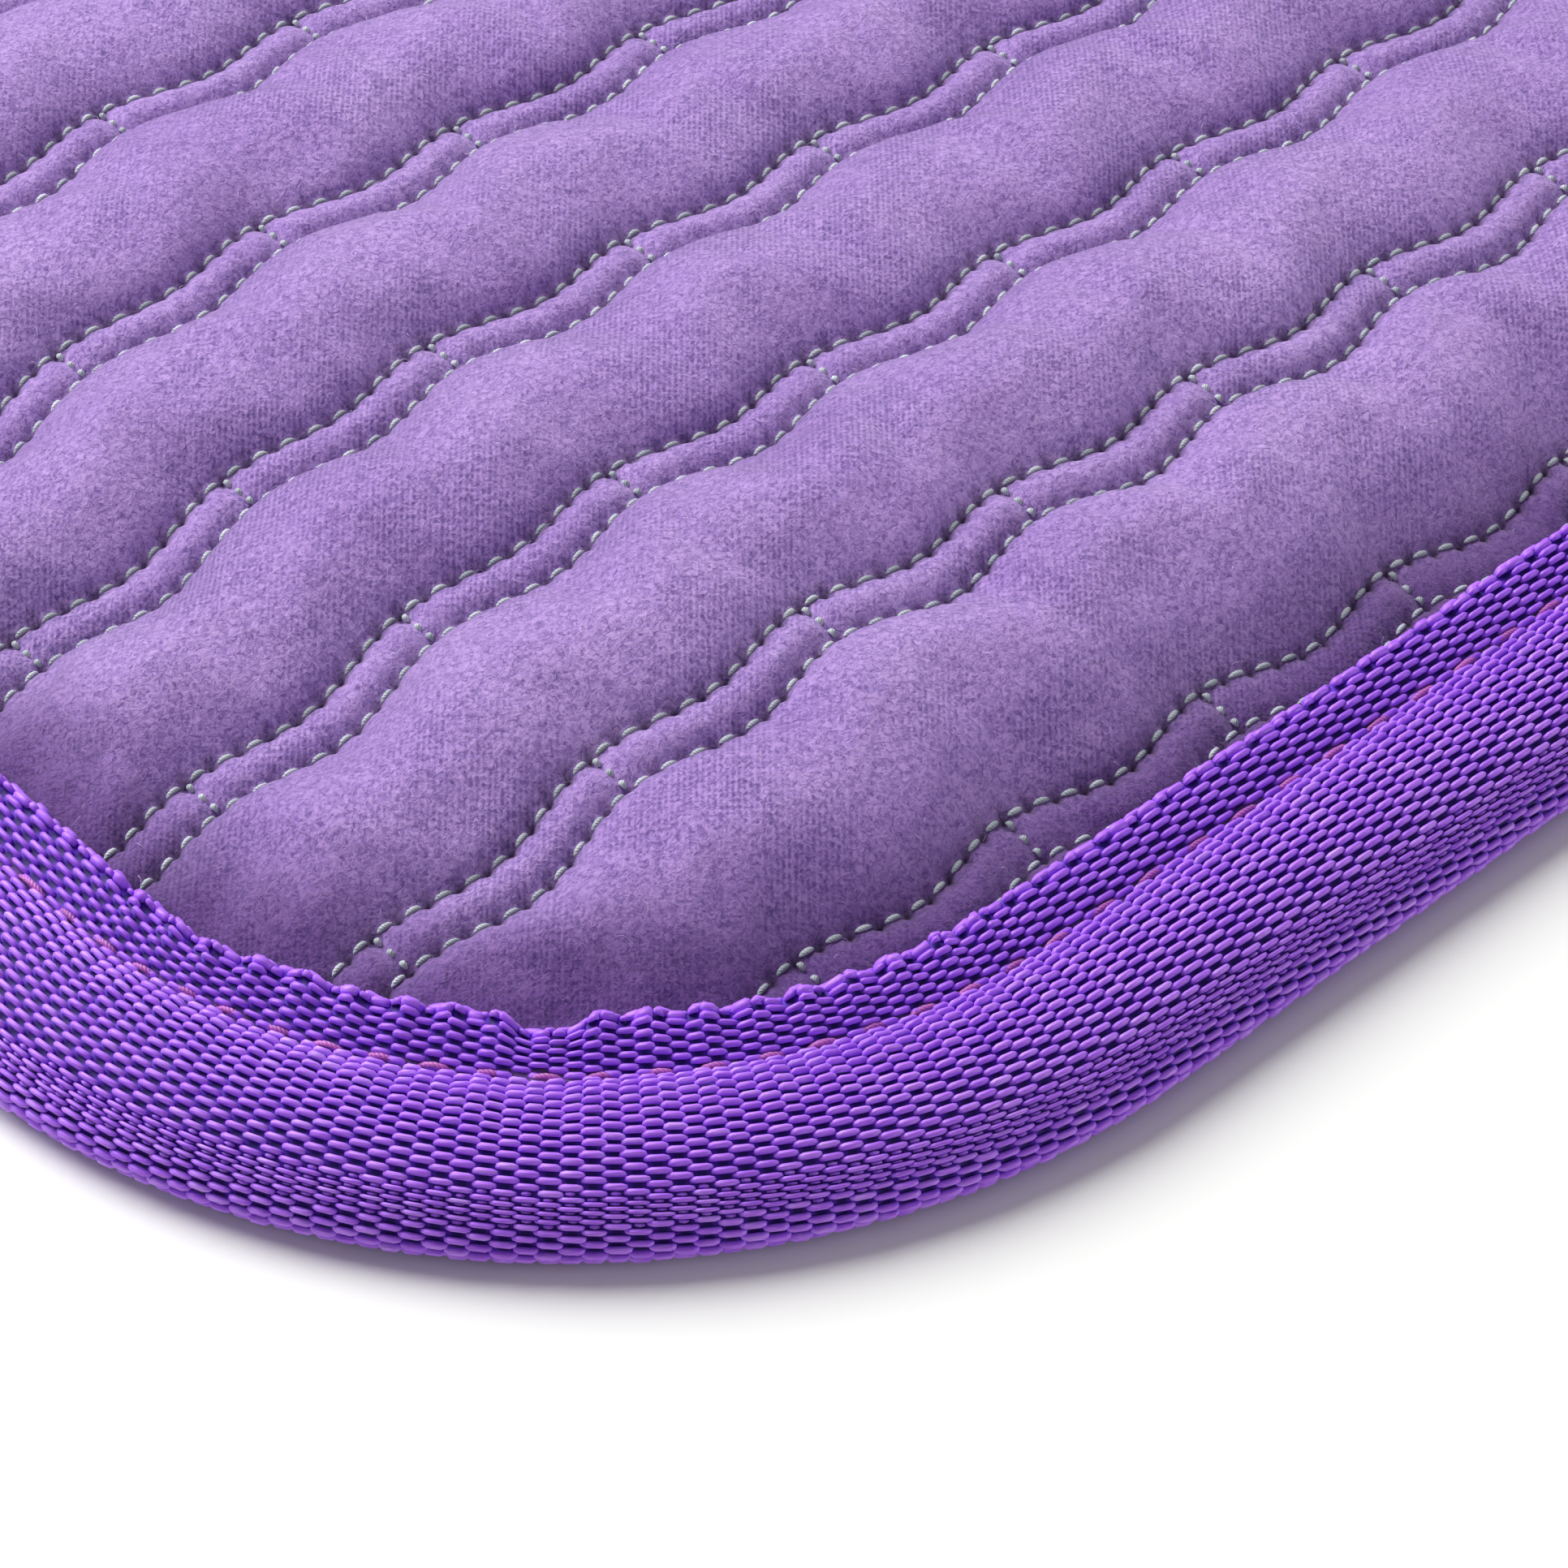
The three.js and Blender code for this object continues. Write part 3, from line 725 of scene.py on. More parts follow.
class KNEELPAD_OT_velour_cover(bpy.types.Operator):
    """Makes the puffed velour top with its seam grooves and needle holes"""

    bl_idname = "kneelpad.velour_cover"
    bl_label = "Velour Cover"

    def execute(self, context):
        settings = context.scene.kneelpad_cover
        columns = quilt_columns(FINE_STEP)
        rows = quilt_lines(SEAM_GATHERING, [0.0], FINE_CHANNEL)
        x, v, points = quilted_sheet(columns, rows, settings.puff / MM)
        # Painted light and shade from the slope across the rows: high on slopes that face away from the key
        # light, low on slopes that face it.
        slope = np.gradient(points[..., 2], axis=1) / np.gradient(points[..., 1], axis=1)
        painted_slope_shading = np.clip(0.5 + PAINTED_SLOPE_GAIN * slope, 0, 1)
        depth = settings.pinch_and_painted_shade / MM
        off_rail = from_rail(v)
        stitches = (x - FIRST_RUNG) / STITCH_STEP
        at_hole = np.clip(1.0 - HOLE_SHARPNESS * np.abs(stitches - np.round(stitches)), 0, 1)
        groove = np.clip(1.0 - off_rail / GROOVE_HALF, 0, 1)
        points[..., 2] -= depth * groove * (GROOVE_SHARE + HOLE_SHARE * at_hole)
        rung_groove = np.clip(1.0 - from_rung(x) / RUNG_GROOVE_HALF, 0, 1) * (from_row(v) < RAIL_HALF)
        points[..., 2] -= RUNG_GROOVE_SHARE * depth * rung_groove
        # Painted shade along each rail, strongest at the needle holes.
        pinch_and_painted_shade = np.clip(1.1 - off_rail / PAINTED_SEAM_SHADE_HALF, 0, 1)
        pinch_and_painted_shade = pinch_and_painted_shade * (PAINTED_SEAM_SHADE_BETWEEN_HOLES + (1 - PAINTED_SEAM_SHADE_BETWEEN_HOLES) * at_hole)
        cover, used = trimmed_shell(
            "velour_cover", points, COVER_INSET, lambda px, py, top: top - COVER_THICKNESS
        )
        inset = inset_at(points[..., 0], points[..., 1])
        # Painted shade beside the tape: 1 at the tape, fading to 0 further in.
        painted_tape_shade = 1.0 - smooth((inset - TAPE_COVER) / PAINTED_TAPE_SHADE_REACH)
        for name, values in (("pinch_and_painted_shade", pinch_and_painted_shade), ("painted_tape_shade", painted_tape_shade), ("painted_slope_shading", painted_slope_shading)):
            tones = values.ravel()[used]
            give_tone(cover, name, np.concatenate([tones, tones]))
        finish_piece(cover, velour_material(settings), ["top_cover"])
        return {"FINISHED"}


FIBRE_COUNT = 2200
FIBRE_RADIUS = 0.028
FIBRE_STEPS = 6
FIBRE_CURL = 1.3
FIBRE_LENGTHS = (0.7, 2.6)
FIBRE_ARCHES = (0.15, 0.6)
RAY_HEIGHT = 50.0


class KNEELPAD_OT_pile_fibres(bpy.types.Operator):
    """Scatters the loose pile ends that stand up from the velour"""

    bl_idname = "kneelpad.pile_fibres"
    bl_label = "Pile Fibres"

    def execute(self, context):
        rng = np.random.default_rng(SEED + 60)
        reach = np.array([HALF_LENGTH, HALF_WIDTH]) - TAPE_COVER
        spots = rng.uniform(-1, 1, (FIBRE_COUNT, 2)) * reach
        spots = spots[inset_at(spots[:, 0], spots[:, 1]) > TAPE_COVER + 1.5]
        count = len(spots)
        heading = rng.uniform(0, 2 * math.pi, count)
        curl = rng.normal(0, FIBRE_CURL, count)
        length = rng.uniform(*FIBRE_LENGTHS, count)
        run = np.linspace(0, 1, FIBRE_STEPS)
        turn = heading[:, None] + curl[:, None] * run
        step = length[:, None] / FIBRE_STEPS
        x = spots[:, 0, None] + np.cumsum(np.cos(turn) * step, axis=1)
        y = spots[:, 1, None] + np.cumsum(np.sin(turn) * step, axis=1)
        arch = rng.uniform(*FIBRE_ARCHES, count)[:, None] * np.sin(math.pi * (0.12 + 0.8 * run))
        z = self.cover_height(x, y) + arch
        line = np.stack([x, y, z], -1)
        along = np.gradient(line, axis=1)
        along /= np.linalg.norm(along, axis=-1, keepdims=True)
        side = np.cross(along, [0, 0, 1.0])
        side /= np.linalg.norm(side, axis=-1, keepdims=True)
        up = np.cross(side, along)
        taper = FIBRE_RADIUS * (1.15 - run)[None, :, None]
        corners = [line + taper * (math.cos(a) * side + math.sin(a) * up) for a in (0.0, 2.1, 4.2)]
        points = np.stack(corners, 2)
        first = 3 * FIBRE_STEPS * np.arange(count)[:, None, None]
        i = 3 * np.arange(FIBRE_STEPS - 1)[:, None]
        k = np.arange(3)[None, :]
        walls = np.stack([i + k, i + (k + 1) % 3, i + 3 + (k + 1) % 3, i + 3 + k], -1).reshape(-1, 4)
        last = 3 * (FIBRE_STEPS - 1)
        caps = np.array([[2, 1, 0], [last, last + 1, last + 2]])
        faces = [(g[None] + first).reshape(-1, g.shape[1]) for g in (walls, caps)]
        fibres = new_mesh("pile_fibres", points.reshape(-1, 3), faces)
        lilac = fibre_material("lilac_polyester_pile_ends", "#DCCBEE", "#C3A9DE", 2.0, 0.1)
        finish_piece(fibres, lilac)
        return {"FINISHED"}

    def cover_height(self, x, y):
        """Height of the finished cover under each point, found by casting rays down at it."""
        cover = bpy.data.objects.get("velour_cover")
        if cover is None:
            raise RuntimeError("Make the velour cover before its pile fibres")
        heights = np.zeros(x.shape)
        for index in np.ndindex(x.shape):
            start = (x[index] * MM, y[index] * MM, RAY_HEIGHT * MM)
            hit, place, _, _ = cover.ray_cast(start, (0, 0, -1))
            if not hit:
                raise RuntimeError("A pile fibre lies off the cover")
            heights[index] = place.z / MM
        return heights


WADDING_INSET = COVER_INSET + 1.0
LINING_INSET = COVER_INSET + 1.5
FOAM_INSET = 4.5
WADDING_BASE = 2.4
LINING_TOP = 2.7
LINING_THICKNESS = 0.25
FOAM_TOP = 3.3
FOAM_BASE = 2.6


class KNEELPAD_OT_inner_layers(bpy.types.Operator):
    """Makes the wadding, its lining and the foam core under the cover"""

    bl_idname = "kneelpad.inner_layers"
    bl_label = "Inner Layers"

    def execute(self, context):
        _, _, points = quilted_sheet(*coarse_grid(), context.scene.kneelpad_cover.puff / MM)
        seams = seam_height(points[..., 0], points[..., 1])
        under_cover = points.copy()
        under_cover[..., 2] = np.maximum(points[..., 2] - COVER_THICKNESS - 1.0, seams - WADDING_BASE + 0.5)
        wadding, _ = trimmed_shell(
            "wadding", under_cover[::2], WADDING_INSET, lambda px, py, top: seam_height(px, py) - WADDING_BASE
        )
        carded = fibre_material("white_polyester_wadding_carded", "#F2F0EC", "#D8D5CF", 3.0, 0.8)
        finish_piece(wadding, carded, ["quilt_wadding"])

        coarse = points[::3, ::2].copy()
        seams = seam_height(coarse[..., 0], coarse[..., 1])
        coarse[..., 2] = seams - LINING_TOP
        lining, _ = trimmed_shell(
            "lining_scrim", coarse, LINING_INSET, lambda px, py, top: top - LINING_THICKNESS
        )
        scrim = fibre_material("white_polyester_scrim_bonded", "#E6E2EC", "#CFC9D8", 0.8, 0.3)
        finish_piece(lining, scrim, ["quilt_lining"])

        core = coarse.copy()
        core[..., 2] = seams - FOAM_TOP
        foam, _ = trimmed_shell("foam_core_block", core, FOAM_INSET, lambda px, py, top: 0 * top + FOAM_BASE)
        finish_piece(foam, foam_material(), ["foam_core"])
        return {"FINISHED"}


class PadBackingSettings(bpy.types.PropertyGroup):
    colour: hue("Cloth", "Backing colour", "#7F68A8")
    shade: hue("Shade", "Darker patches", "#6F5A98")
    weave: bpy.props.FloatProperty(
        name="Weave", description="Thread spacing", default=0.9 * MM, min=0.2 * MM, unit="LENGTH"
    )


BACKING_INSET = 4.0
BACKING_EDGE = 1.5  # height of the cloth where the tape's lower fold covers it
BACKING_SLACK = 0.16
BACKING_ROLL = 7.0


class KNEELPAD_OT_backing(bpy.types.Operator):
    """Makes the foam-backed cloth of the underside"""

    bl_idname = "kneelpad.backing"
    bl_label = "Backing Cloth"

    def execute(self, context):
        settings = context.scene.kneelpad_backing
        low, high = node_box("backing_cover")
        xs = np.linspace(low[0] + 0.5, high[0] - 0.5, 150)
        ys = np.linspace(low[1] + 0.5, high[1] - 0.5, 94)
        x, y = np.meshgrid(xs, ys, indexing="ij")
        upper = np.stack([x, y, np.full(x.shape, high[2])], -1)

        def underside(px, py, top):
            """The cloth bellies down to the ground inside the tape, a little unevenly."""
            bulge = smooth((inset_at(px, py) - TAPE_COVER + 0.5) / BACKING_ROLL)
            swells = 0.1 * ripple(px, py, 46.0, SEED + 7) + 0.05 * ripple(px, py, 17.0, SEED + 8)
            return BACKING_EDGE - bulge * (BACKING_EDGE - np.clip(BACKING_SLACK + swells, 0.04, 0.6))

        backing, _ = trimmed_shell("backing_cloth", upper, BACKING_INSET, underside)
        finish_piece(backing, backing_material(settings), ["backing_cover"])
        return {"FINISHED"}


# ---- Edge binding ---------------------------------------------------------

# The tape's outer face across its width, as (inset, height) from the upper
# selvedge over the edge to the lower selvedge.
TAPE_PROFILE = np.array(
    [
        (21.0, 10.6), (19.5, 10.3), (18.0, 9.75), (16.6, 9.1), (15.5, 8.6), (14.4, 8.95),
        (13.2, 9.35), (11.6, 9.5), (9.0, 9.35), (6.6, 8.85), (4.4, 8.0), (2.7, 6.95),
        (1.35, 5.65), (0.45, 4.3), (0.05, 3.1), (0.1, 2.2), (0.65, 1.45), (1.7, 0.98),
        (3.2, 0.78), (5.0, 0.75), (13.6, 0.75), (14.6, 1.0), (15.5, 1.2), (16.4, 1.0),
        (17.4, 0.75), (19.0, 0.8), (21.0, 1.0),
    ]
)
TAPE_DEPTH = 1.15
PICK_SPACING = 1.97
YARN_HEIGHT = 0.5
RIDGE = 20.4  # where across the tape its fold is tightest
KNOT_REACH = 1.6
SLANT = 0.045
# Painted shade: how much lower the tone is for the floats on the tape's lip.
LIP_PAINTED_SHADE = 0.5
TUCK_REACH = 3.6
DIP = 0.4
BINDING_STITCH = 6.1
BINDING_GROOVE = 0.8
HOLE_DEPTH = 0.22

# Heights of the tape's unevenness: on the straight sides, and how much more on the corners.
LIP_RIPPLE = (0.1, 0.4)
LIP_SWAY = (0.12, 0.3)
ROLL_RIPPLE = (0.04, 0.1)
ROLL_SWELL = 0.14

# How deep a corner's tuck draws in each part of the tape.
LIP_TUCK = 1.1
LIP_PULL = 0.9
ROLL_TUCK = 0.5
GROOVE_TUCK = 0.3


def smooth_profile(points, spacing=0.25):
    """A dense curve through the points, as arc length, inset and height."""
    ends_doubled = np.concatenate([points[:1], points, points[-1:]])
    t = np.linspace(0, 1, 12, endpoint=False)[:, None]
    parts = [catmull_rom(*ends_doubled[k : k + 4], t) for k in range(len(points) - 1)]
    curve = np.concatenate([*parts, points[-1:]])
    run = np.concatenate([[0], np.cumsum(np.linalg.norm(np.diff(curve, axis=0), axis=1))])
    even = np.arange(0, run[-1], spacing)
    return even, np.interp(even, run, curve[:, 0]), np.interp(even, run, curve[:, 1])


PROFILE_RUN, PROFILE_INSET, PROFILE_HEIGHT = smooth_profile(TAPE_PROFILE)
TAPE_WIDTH = PROFILE_RUN[-1]
STITCH_ACROSS = float(np.interp(-STITCH_INSET, -PROFILE_INSET[:60], PROFILE_RUN[:60]))

STRAIGHT_X = 2 * (HALF_LENGTH - CORNER_RADIUS)
STRAIGHT_Y = 2 * (HALF_WIDTH - CORNER_RADIUS)
ARC = CORNER_RADIUS * math.pi / 2
PERIMETER = 2 * (STRAIGHT_X + STRAIGHT_Y) + 4 * ARC
PICK_COUNT = 2 * int(round(PERIMETER / PICK_SPACING / 2))
PICK_STEP = PERIMETER / PICK_COUNT
STITCH_COUNT = int(round(PERIMETER / BINDING_STITCH))
BINDING_STEP = PERIMETER / STITCH_COUNT


def outline_frame(s):
    """Point of the outline at run s and its outward direction; s starts at the middle of the
    near long side and goes anticlockwise."""
    s = np.mod(s + STRAIGHT_X / 2, PERIMETER)
    hx = HALF_LENGTH - CORNER_RADIUS
    hy = HALF_WIDTH - CORNER_RADIUS
    sides = [
        (STRAIGHT_X, (-hx, -hy), (1, 0), -90), (STRAIGHT_Y, (hx, -hy), (0, 1), 0),
        (STRAIGHT_X, (hx, hy), (-1, 0), 90), (STRAIGHT_Y, (-hx, hy), (0, -1), 180),
    ]
    x = np.zeros(s.shape)
    y = np.zeros(s.shape)
    angle = np.zeros(s.shape)
    start = 0.0
    for length, (cx, cy), (ux, uy), facing in sides:
        on_side = (s >= start) & (s < start + length)
        run = s - start
        x = np.where(on_side, cx + ux * run, x)
        y = np.where(on_side, cy + uy * run, y)
        angle = np.where(on_side, math.radians(facing), angle)
        start += length
        on_arc = (s >= start) & (s < start + ARC)
        x = np.where(on_arc, cx + ux * length, x)
        y = np.where(on_arc, cy + uy * length, y)
        angle = np.where(on_arc, math.radians(facing) + (s - start) / CORNER_RADIUS, angle)
        start += ARC
    nx = np.cos(angle)
    ny = np.sin(angle)
    return x + CORNER_RADIUS * nx, y + CORNER_RADIUS * ny, nx, ny


CORNER_MIDDLES = (STRAIGHT_X + ARC) / 2 + np.cumsum([0, STRAIGHT_Y + ARC, STRAIGHT_X + ARC, STRAIGHT_Y + ARC])


def corner_tuck(s):
    """1 in the middle of each round corner, where the tape's inner edge folds over itself."""
    away = np.min(np.abs(np.mod(s, PERIMETER)[..., None] - CORNER_MIDDLES), -1)
    return np.exp(-((away / TUCK_REACH) ** 2))


def corner_share(s):
    """1 on the round corners, 0 on the straight sides, with a soft change."""
    x, y, _, _ = outline_frame(s)
    dx = np.abs(x) - (HALF_LENGTH - CORNER_RADIUS)
    dy = np.abs(y) - (HALF_WIDTH - CORNER_RADIUS)
    return smooth(np.minimum(dx, dy) / 12.0 + 0.3)


def tape_point(s, across, out=0.0):
    """Point of the tape at run s along the pad's edge and distance across the tape, raised by
    out along the tape's outward normal."""
    x, y, nx, ny = outline_frame(s)
    w = np.clip(across, 0, TAPE_WIDTH)
    inset = np.interp(w, PROFILE_RUN, PROFILE_INSET)
    height = np.interp(w, PROFILE_RUN, PROFILE_HEIGHT)
    slope_inset = np.gradient(PROFILE_INSET, PROFILE_RUN)
    slope_height = np.gradient(PROFILE_HEIGHT, PROFILE_RUN)
    tangent_out = -np.interp(w, PROFILE_RUN, slope_inset)
    tangent_up = np.interp(w, PROFILE_RUN, slope_height)
    length = np.maximum(np.hypot(tangent_out, tangent_up), 1e-6)
    normal_out = -tangent_up / length
    normal_up = tangent_out / length
    inset = inset - (across - w) * tangent_out / length
    corner = corner_share(s)
    stitch_turn = 2 * math.pi * s / BINDING_STEP
    on_top = w < TAPE_WIDTH / 2
    lip = np.where(on_top, smooth(1.0 - w / (STITCH_ACROSS + 0.6)), 0.0)
    wander = 0.5 * ripple(s, 0 * s, 37.0, SEED + 3)
    lip_ripple = (LIP_RIPPLE[0] + LIP_RIPPLE[1] * corner) * np.cos(stitch_turn + wander)
    roll = smooth((w - STITCH_ACROSS) / 2.0) * smooth((18.0 - w) / 9.0)
    roll_ripple = (ROLL_RIPPLE[0] + ROLL_RIPPLE[1] * corner) * np.cos(stitch_turn + 0.8)
    roll_ripple = roll_ripple + ROLL_SWELL * ripple(s, 0 * s, 60.0, SEED + 4)
    groove = np.exp(-(((w - STITCH_ACROSS) / BINDING_GROOVE) ** 2)) * on_top
    hole = HOLE_DEPTH * (0.5 - 0.5 * np.cos(stitch_turn + math.pi)) ** 2
    tuck = corner_tuck(s)
    out = out + lip * (lip_ripple - LIP_TUCK * tuck)
    out = out + roll * (roll_ripple - ROLL_TUCK * tuck)
    out = out - groove * (hole + GROOVE_TUCK * tuck)
    sway = (LIP_SWAY[0] + LIP_SWAY[1] * corner) * ripple(s, 0 * s, 15.0, SEED + 5)
    inset = inset - lip * (sway + LIP_PULL * tuck)
    reach = inset - normal_out * out
    return np.stack([x - nx * reach, y - ny * reach, height + normal_up * out], -1)


class PadBindingSettings(bpy.types.PropertyGroup):
    colour: hue("Webbing", "Webbing colour", "#B66CFA")
    light: hue("Lit yarn", "Yarn facing the light", "#CF9FFF")
    shade: hue("Shaded yarn", "Yarn in shade", "#9C53EC")
    # Painted shade: the ground between the floats is made darker than the yarn to stand for shade in the
    # gaps.
    gap: hue("Gaps", "Deep between the floats", "#2E0A70")
    weft: hue("Weft", "Weft ribs", "#6226C0")
    ends: bpy.props.IntProperty(name="Ends", description="Warp yarns across the tape", default=80, min=10)


def yarn_template(name, segments, places, bluntness):
    """One plump float of yarn along X: a sphere turned on its side, with its rings drawn out
    to places along it. Returns its points and its triangles."""
    bpy.ops.object.select_all(action="DESELECT")
    bpy.ops.mesh.primitive_uv_sphere_add(segments=segments, ring_count=len(places) + 1, radius=1.0)
    shape = bpy.context.object
    shape.name = name
    bpy.ops.object.mode_set(mode="EDIT")
    bpy.ops.mesh.select_all(action="SELECT")
    bpy.ops.transform.rotate(value=math.pi / 2, orient_axis="Y", center_override=(0, 0, 0))
    bpy.ops.mesh.quads_convert_to_tris()
    bpy.ops.mesh.normals_make_consistent(inside=False)
    bpy.ops.object.mode_set(mode="OBJECT")
    points = np.array([v.co[:] for v in shape.data.vertices])
    faces = np.array([p.vertices[:] for p in shape.data.polygons])
    bpy.data.objects.remove(shape)
    rings = np.cos(np.arange(1, len(places) + 1) * math.pi / (len(places) + 1))[::-1]
    reach = np.hypot(points[:, 1], points[:, 2])
    along = np.interp(points[:, 0], [-1, *rings, 1], [-1, *places, 1])
    girth = (1 - np.abs(along) ** bluntness) ** (1 / bluntness)
    scale = np.where(reach > 1e-4, girth / np.maximum(reach, 1e-4), 0)
    return np.stack([along, points[:, 1] * scale, points[:, 2] * scale], -1), faces


def copies(template, faces, count):
    """Faces of count copies of a template laid one after another."""
    return (faces[None] + len(template) * np.arange(count)[:, None, None]).reshape(-1, faces.shape[1])


def add_floats(name, yarn, floats, template, faces):
    """Floats of warp yarn on the tape: each is the template bent to the tape's surface.
    floats gives each one's run, place across, half length, half width, height, lift and tone."""
    run, place, half_length, half_width, height, lift, tone = floats.T[..., None]
    a = template[:, 0]
    dip = DIP * np.abs(a) ** 3
    s = run + a * half_length
    w = place + template[:, 1] * half_width + SLANT * a * half_length
    out = lift + height * (0.5 * template[:, 2] - dip)
    points = tape_point(s, w, out)
    piece = new_mesh(name, points.reshape(-1, 3), copies(template, faces, len(floats)))
    give_uv(piece, np.stack([s, w], -1).reshape(-1, 2))
    give_tone(piece, "tone", np.repeat(tone[:, 0], len(template)))
    finish_piece(piece, yarn)


TAPE_ZONES = 6
UNDERSIDE_MARGIN = 6.0
BLUNT_FLOAT = (5, (-0.88, -0.5, 0.5, 0.88), 3.6)
PLAIN_FLOAT = (4, (-0.78, 0.0, 0.78), 3.4)
KNOT_LENGTH_SHARE = 0.42
KNOT_WIDTH_SHARE = 0.75
KNOT_DROP = 0.22

# Unevenness of run, place, half length, half width, height, lift and tone.
FLOAT_UNEVEN = (0.07, 0.02, 0.04, 0.05, 0.05, 0.03, 0.16)
LOOP_UNEVEN = (0.12, 0.06, 0.08, 0.1, 0.08, 0.05, 0.15)


def end_places(ends):
    """Distances across the tape of its warp ends, a little wider where the fold is tightest."""
    places = np.linspace(0, 1, 400)
    spread_out = 1.0 + 0.65 * np.exp(-(((places * TAPE_WIDTH - RIDGE) / 1.1) ** 2))
    run = np.concatenate([[0], np.cumsum((spread_out[1:] + spread_out[:-1]) / 2)])
    return 0.9 + np.interp((np.arange(ends) + 0.5) / ends, run / run[-1], places) * (TAPE_WIDTH - 1.8)


class KNEELPAD_OT_binding_tape(bpy.types.Operator):
    """Makes the folded webbing tape: its ground, its warp floats and its selvedges"""

    bl_idname = "kneelpad.binding_tape"
    bl_label = "Binding Tape"

    def execute(self, context):
        settings = context.scene.kneelpad_binding
        yarn = webbing_material(settings)
        self.make_ground(settings)
        rng = np.random.default_rng(SEED)
        ends = end_places(settings.ends)
        pitch = np.gradient(ends)
        end, pick = np.meshgrid(np.arange(settings.ends), np.arange(PICK_COUNT), indexing="ij")
        over = (end + pick) % 2 == 0
        runs = pick[over] * PICK_STEP
        floats = self.float_sizes(rng, ends[end[over]], pitch[end[over]], runs)
        seen = floats[:, 1] < TAPE_WIDTH / 2 + UNDERSIDE_MARGIN
        full = yarn_template("warp_float", *BLUNT_FLOAT)
        plain = yarn_template("warp_float_plain", *PLAIN_FLOAT)
        for zone in range(TAPE_ZONES):
            start = zone * PERIMETER / TAPE_ZONES
            inside = seen & (runs >= start) & (runs < start + PERIMETER / TAPE_ZONES)
            add_floats(f"binding_warp_{zone + 1:02d}", yarn, floats[inside], *full)
        near = floats[:, 0] < PERIMETER / 2
        for side, half in (("near", near), ("far", ~near)):
            add_floats(f"binding_warp_under_{side}", yarn, floats[~seen & half], *plain)
        under = ~over & (np.abs(ends[end] - RIDGE) < KNOT_REACH)
        knots = self.float_sizes(rng, ends[end[under]], pitch[end[under]], pick[under] * PICK_STEP)
        knots[:, 2] *= KNOT_LENGTH_SHARE
        knots[:, 3] *= KNOT_WIDTH_SHARE
        knots[:, 5] -= KNOT_DROP
        add_floats("binding_weft_knots", yarn, knots, *plain)
        self.make_selvedges(yarn, {"upper": full, "lower": plain}, rng)
        return {"FINISHED"}

    def float_sizes(self, rng, places, pitches, runs):
        """Sizes of a set of floats, each a little uneven."""
        uneven = (rng.standard_normal((len(places), 7)) * FLOAT_UNEVEN).T
        return np.stack(
            [
                runs + uneven[0],
                places + uneven[1],
                0.63 * PICK_STEP * (1 + uneven[2]),
                0.57 * np.minimum(pitches, 0.66) * (1 + uneven[3]),
                1.7 * YARN_HEIGHT * (1 + uneven[4]),
                uneven[5],
                # Floats on the lip get painted shade through a lower tone.
                np.clip(0.5 + uneven[6] - LIP_PAINTED_SHADE * (places < STITCH_ACROSS), 0, 1),
            ],
            -1,
        )

    def make_ground(self, settings):
        """The tape under its floats: a thin folded strip all round the pad."""
        across = np.unique(np.concatenate([np.arange(0, TAPE_WIDTH, 1.5), [TAPE_WIDTH]]))
        runs = np.arange(0, PICK_COUNT) * PICK_STEP
        s, w = np.meshgrid(runs, across, indexing="ij")
        outer = tape_point(s, w, -YARN_HEIGHT)
        inner = tape_point(s, w, -TAPE_DEPTH)
        section = np.concatenate([outer, inner[:, ::-1]], axis=1)
        points = section.reshape(-1, 3)
        rows, columns = section.shape[:2]
        faces = grid_faces(rows, columns, closed=True)
        first = np.arange(rows) * columns
        after = np.roll(first, -1)
        seam = np.stack([first + columns - 1, after + columns - 1, after, first], -1)
        ground = new_mesh("binding_ground", points, np.concatenate([faces, seam])[:, ::-1])
        both = np.concatenate([w, w[:, ::-1]], axis=1)
        give_uv(ground, np.stack([np.concatenate([s, s], axis=1), both], -1).reshape(-1, 2))
        finish_piece(ground, tape_ground_material(settings), ["edge_binding"])

    def make_selvedges(self, yarn, templates, rng):
        """Edge loops: a fat one at every second pick and a small one tucked between."""
        picks = np.arange(PICK_COUNT)
        for name, place, side in (("upper", 0.35, -1), ("lower", TAPE_WIDTH - 0.35, 1)):
            for tucked in (False, True):
                big = (picks % 2 == 0) != tucked
                uneven = (rng.standard_normal((PICK_COUNT, 7)) * LOOP_UNEVEN).T
                floats = np.stack(
                    [
                        (picks + 0.4 * tucked) * PICK_STEP + uneven[0],
                        place + side * 0.35 * tucked + uneven[1],
                        np.where(big, 0.6, 0.36) * PICK_STEP * (1 + uneven[2]),
                        np.where(big, 0.47, 0.32) * (1 + uneven[3]),
                        np.where(big, 0.95, 0.75) * (1 + uneven[4]),
                        (-0.42 if tucked else -0.04) + uneven[5],
                        np.clip(0.2 + uneven[6], 0, 1),
                    ],
                    -1,
                )
                kind = "tucked" if tucked else "loops"
                add_floats(f"binding_selvedge_{name}_{kind}", yarn, floats, *templates[name])


# ---- Stitching ------------------------------------------------------------


class PadStitchSettings(bpy.types.PropertyGroup):
    quilt_light: hue("Quilting", "Quilting thread", "#D3DBDE")
    quilt_dark: hue("Quilting ply", "Its plies", "#98A4AA")
    binding_light: hue("Binding", "Binding thread", "#CB6CC4")
    binding_dark: hue("Binding ply", "Its plies", "#8E3A9E")
    quilt_thickness: bpy.props.FloatProperty(
        name="Quilting thread", description="Thread diameter", default=0.52 * MM, min=0.1 * MM, unit="LENGTH"
    )


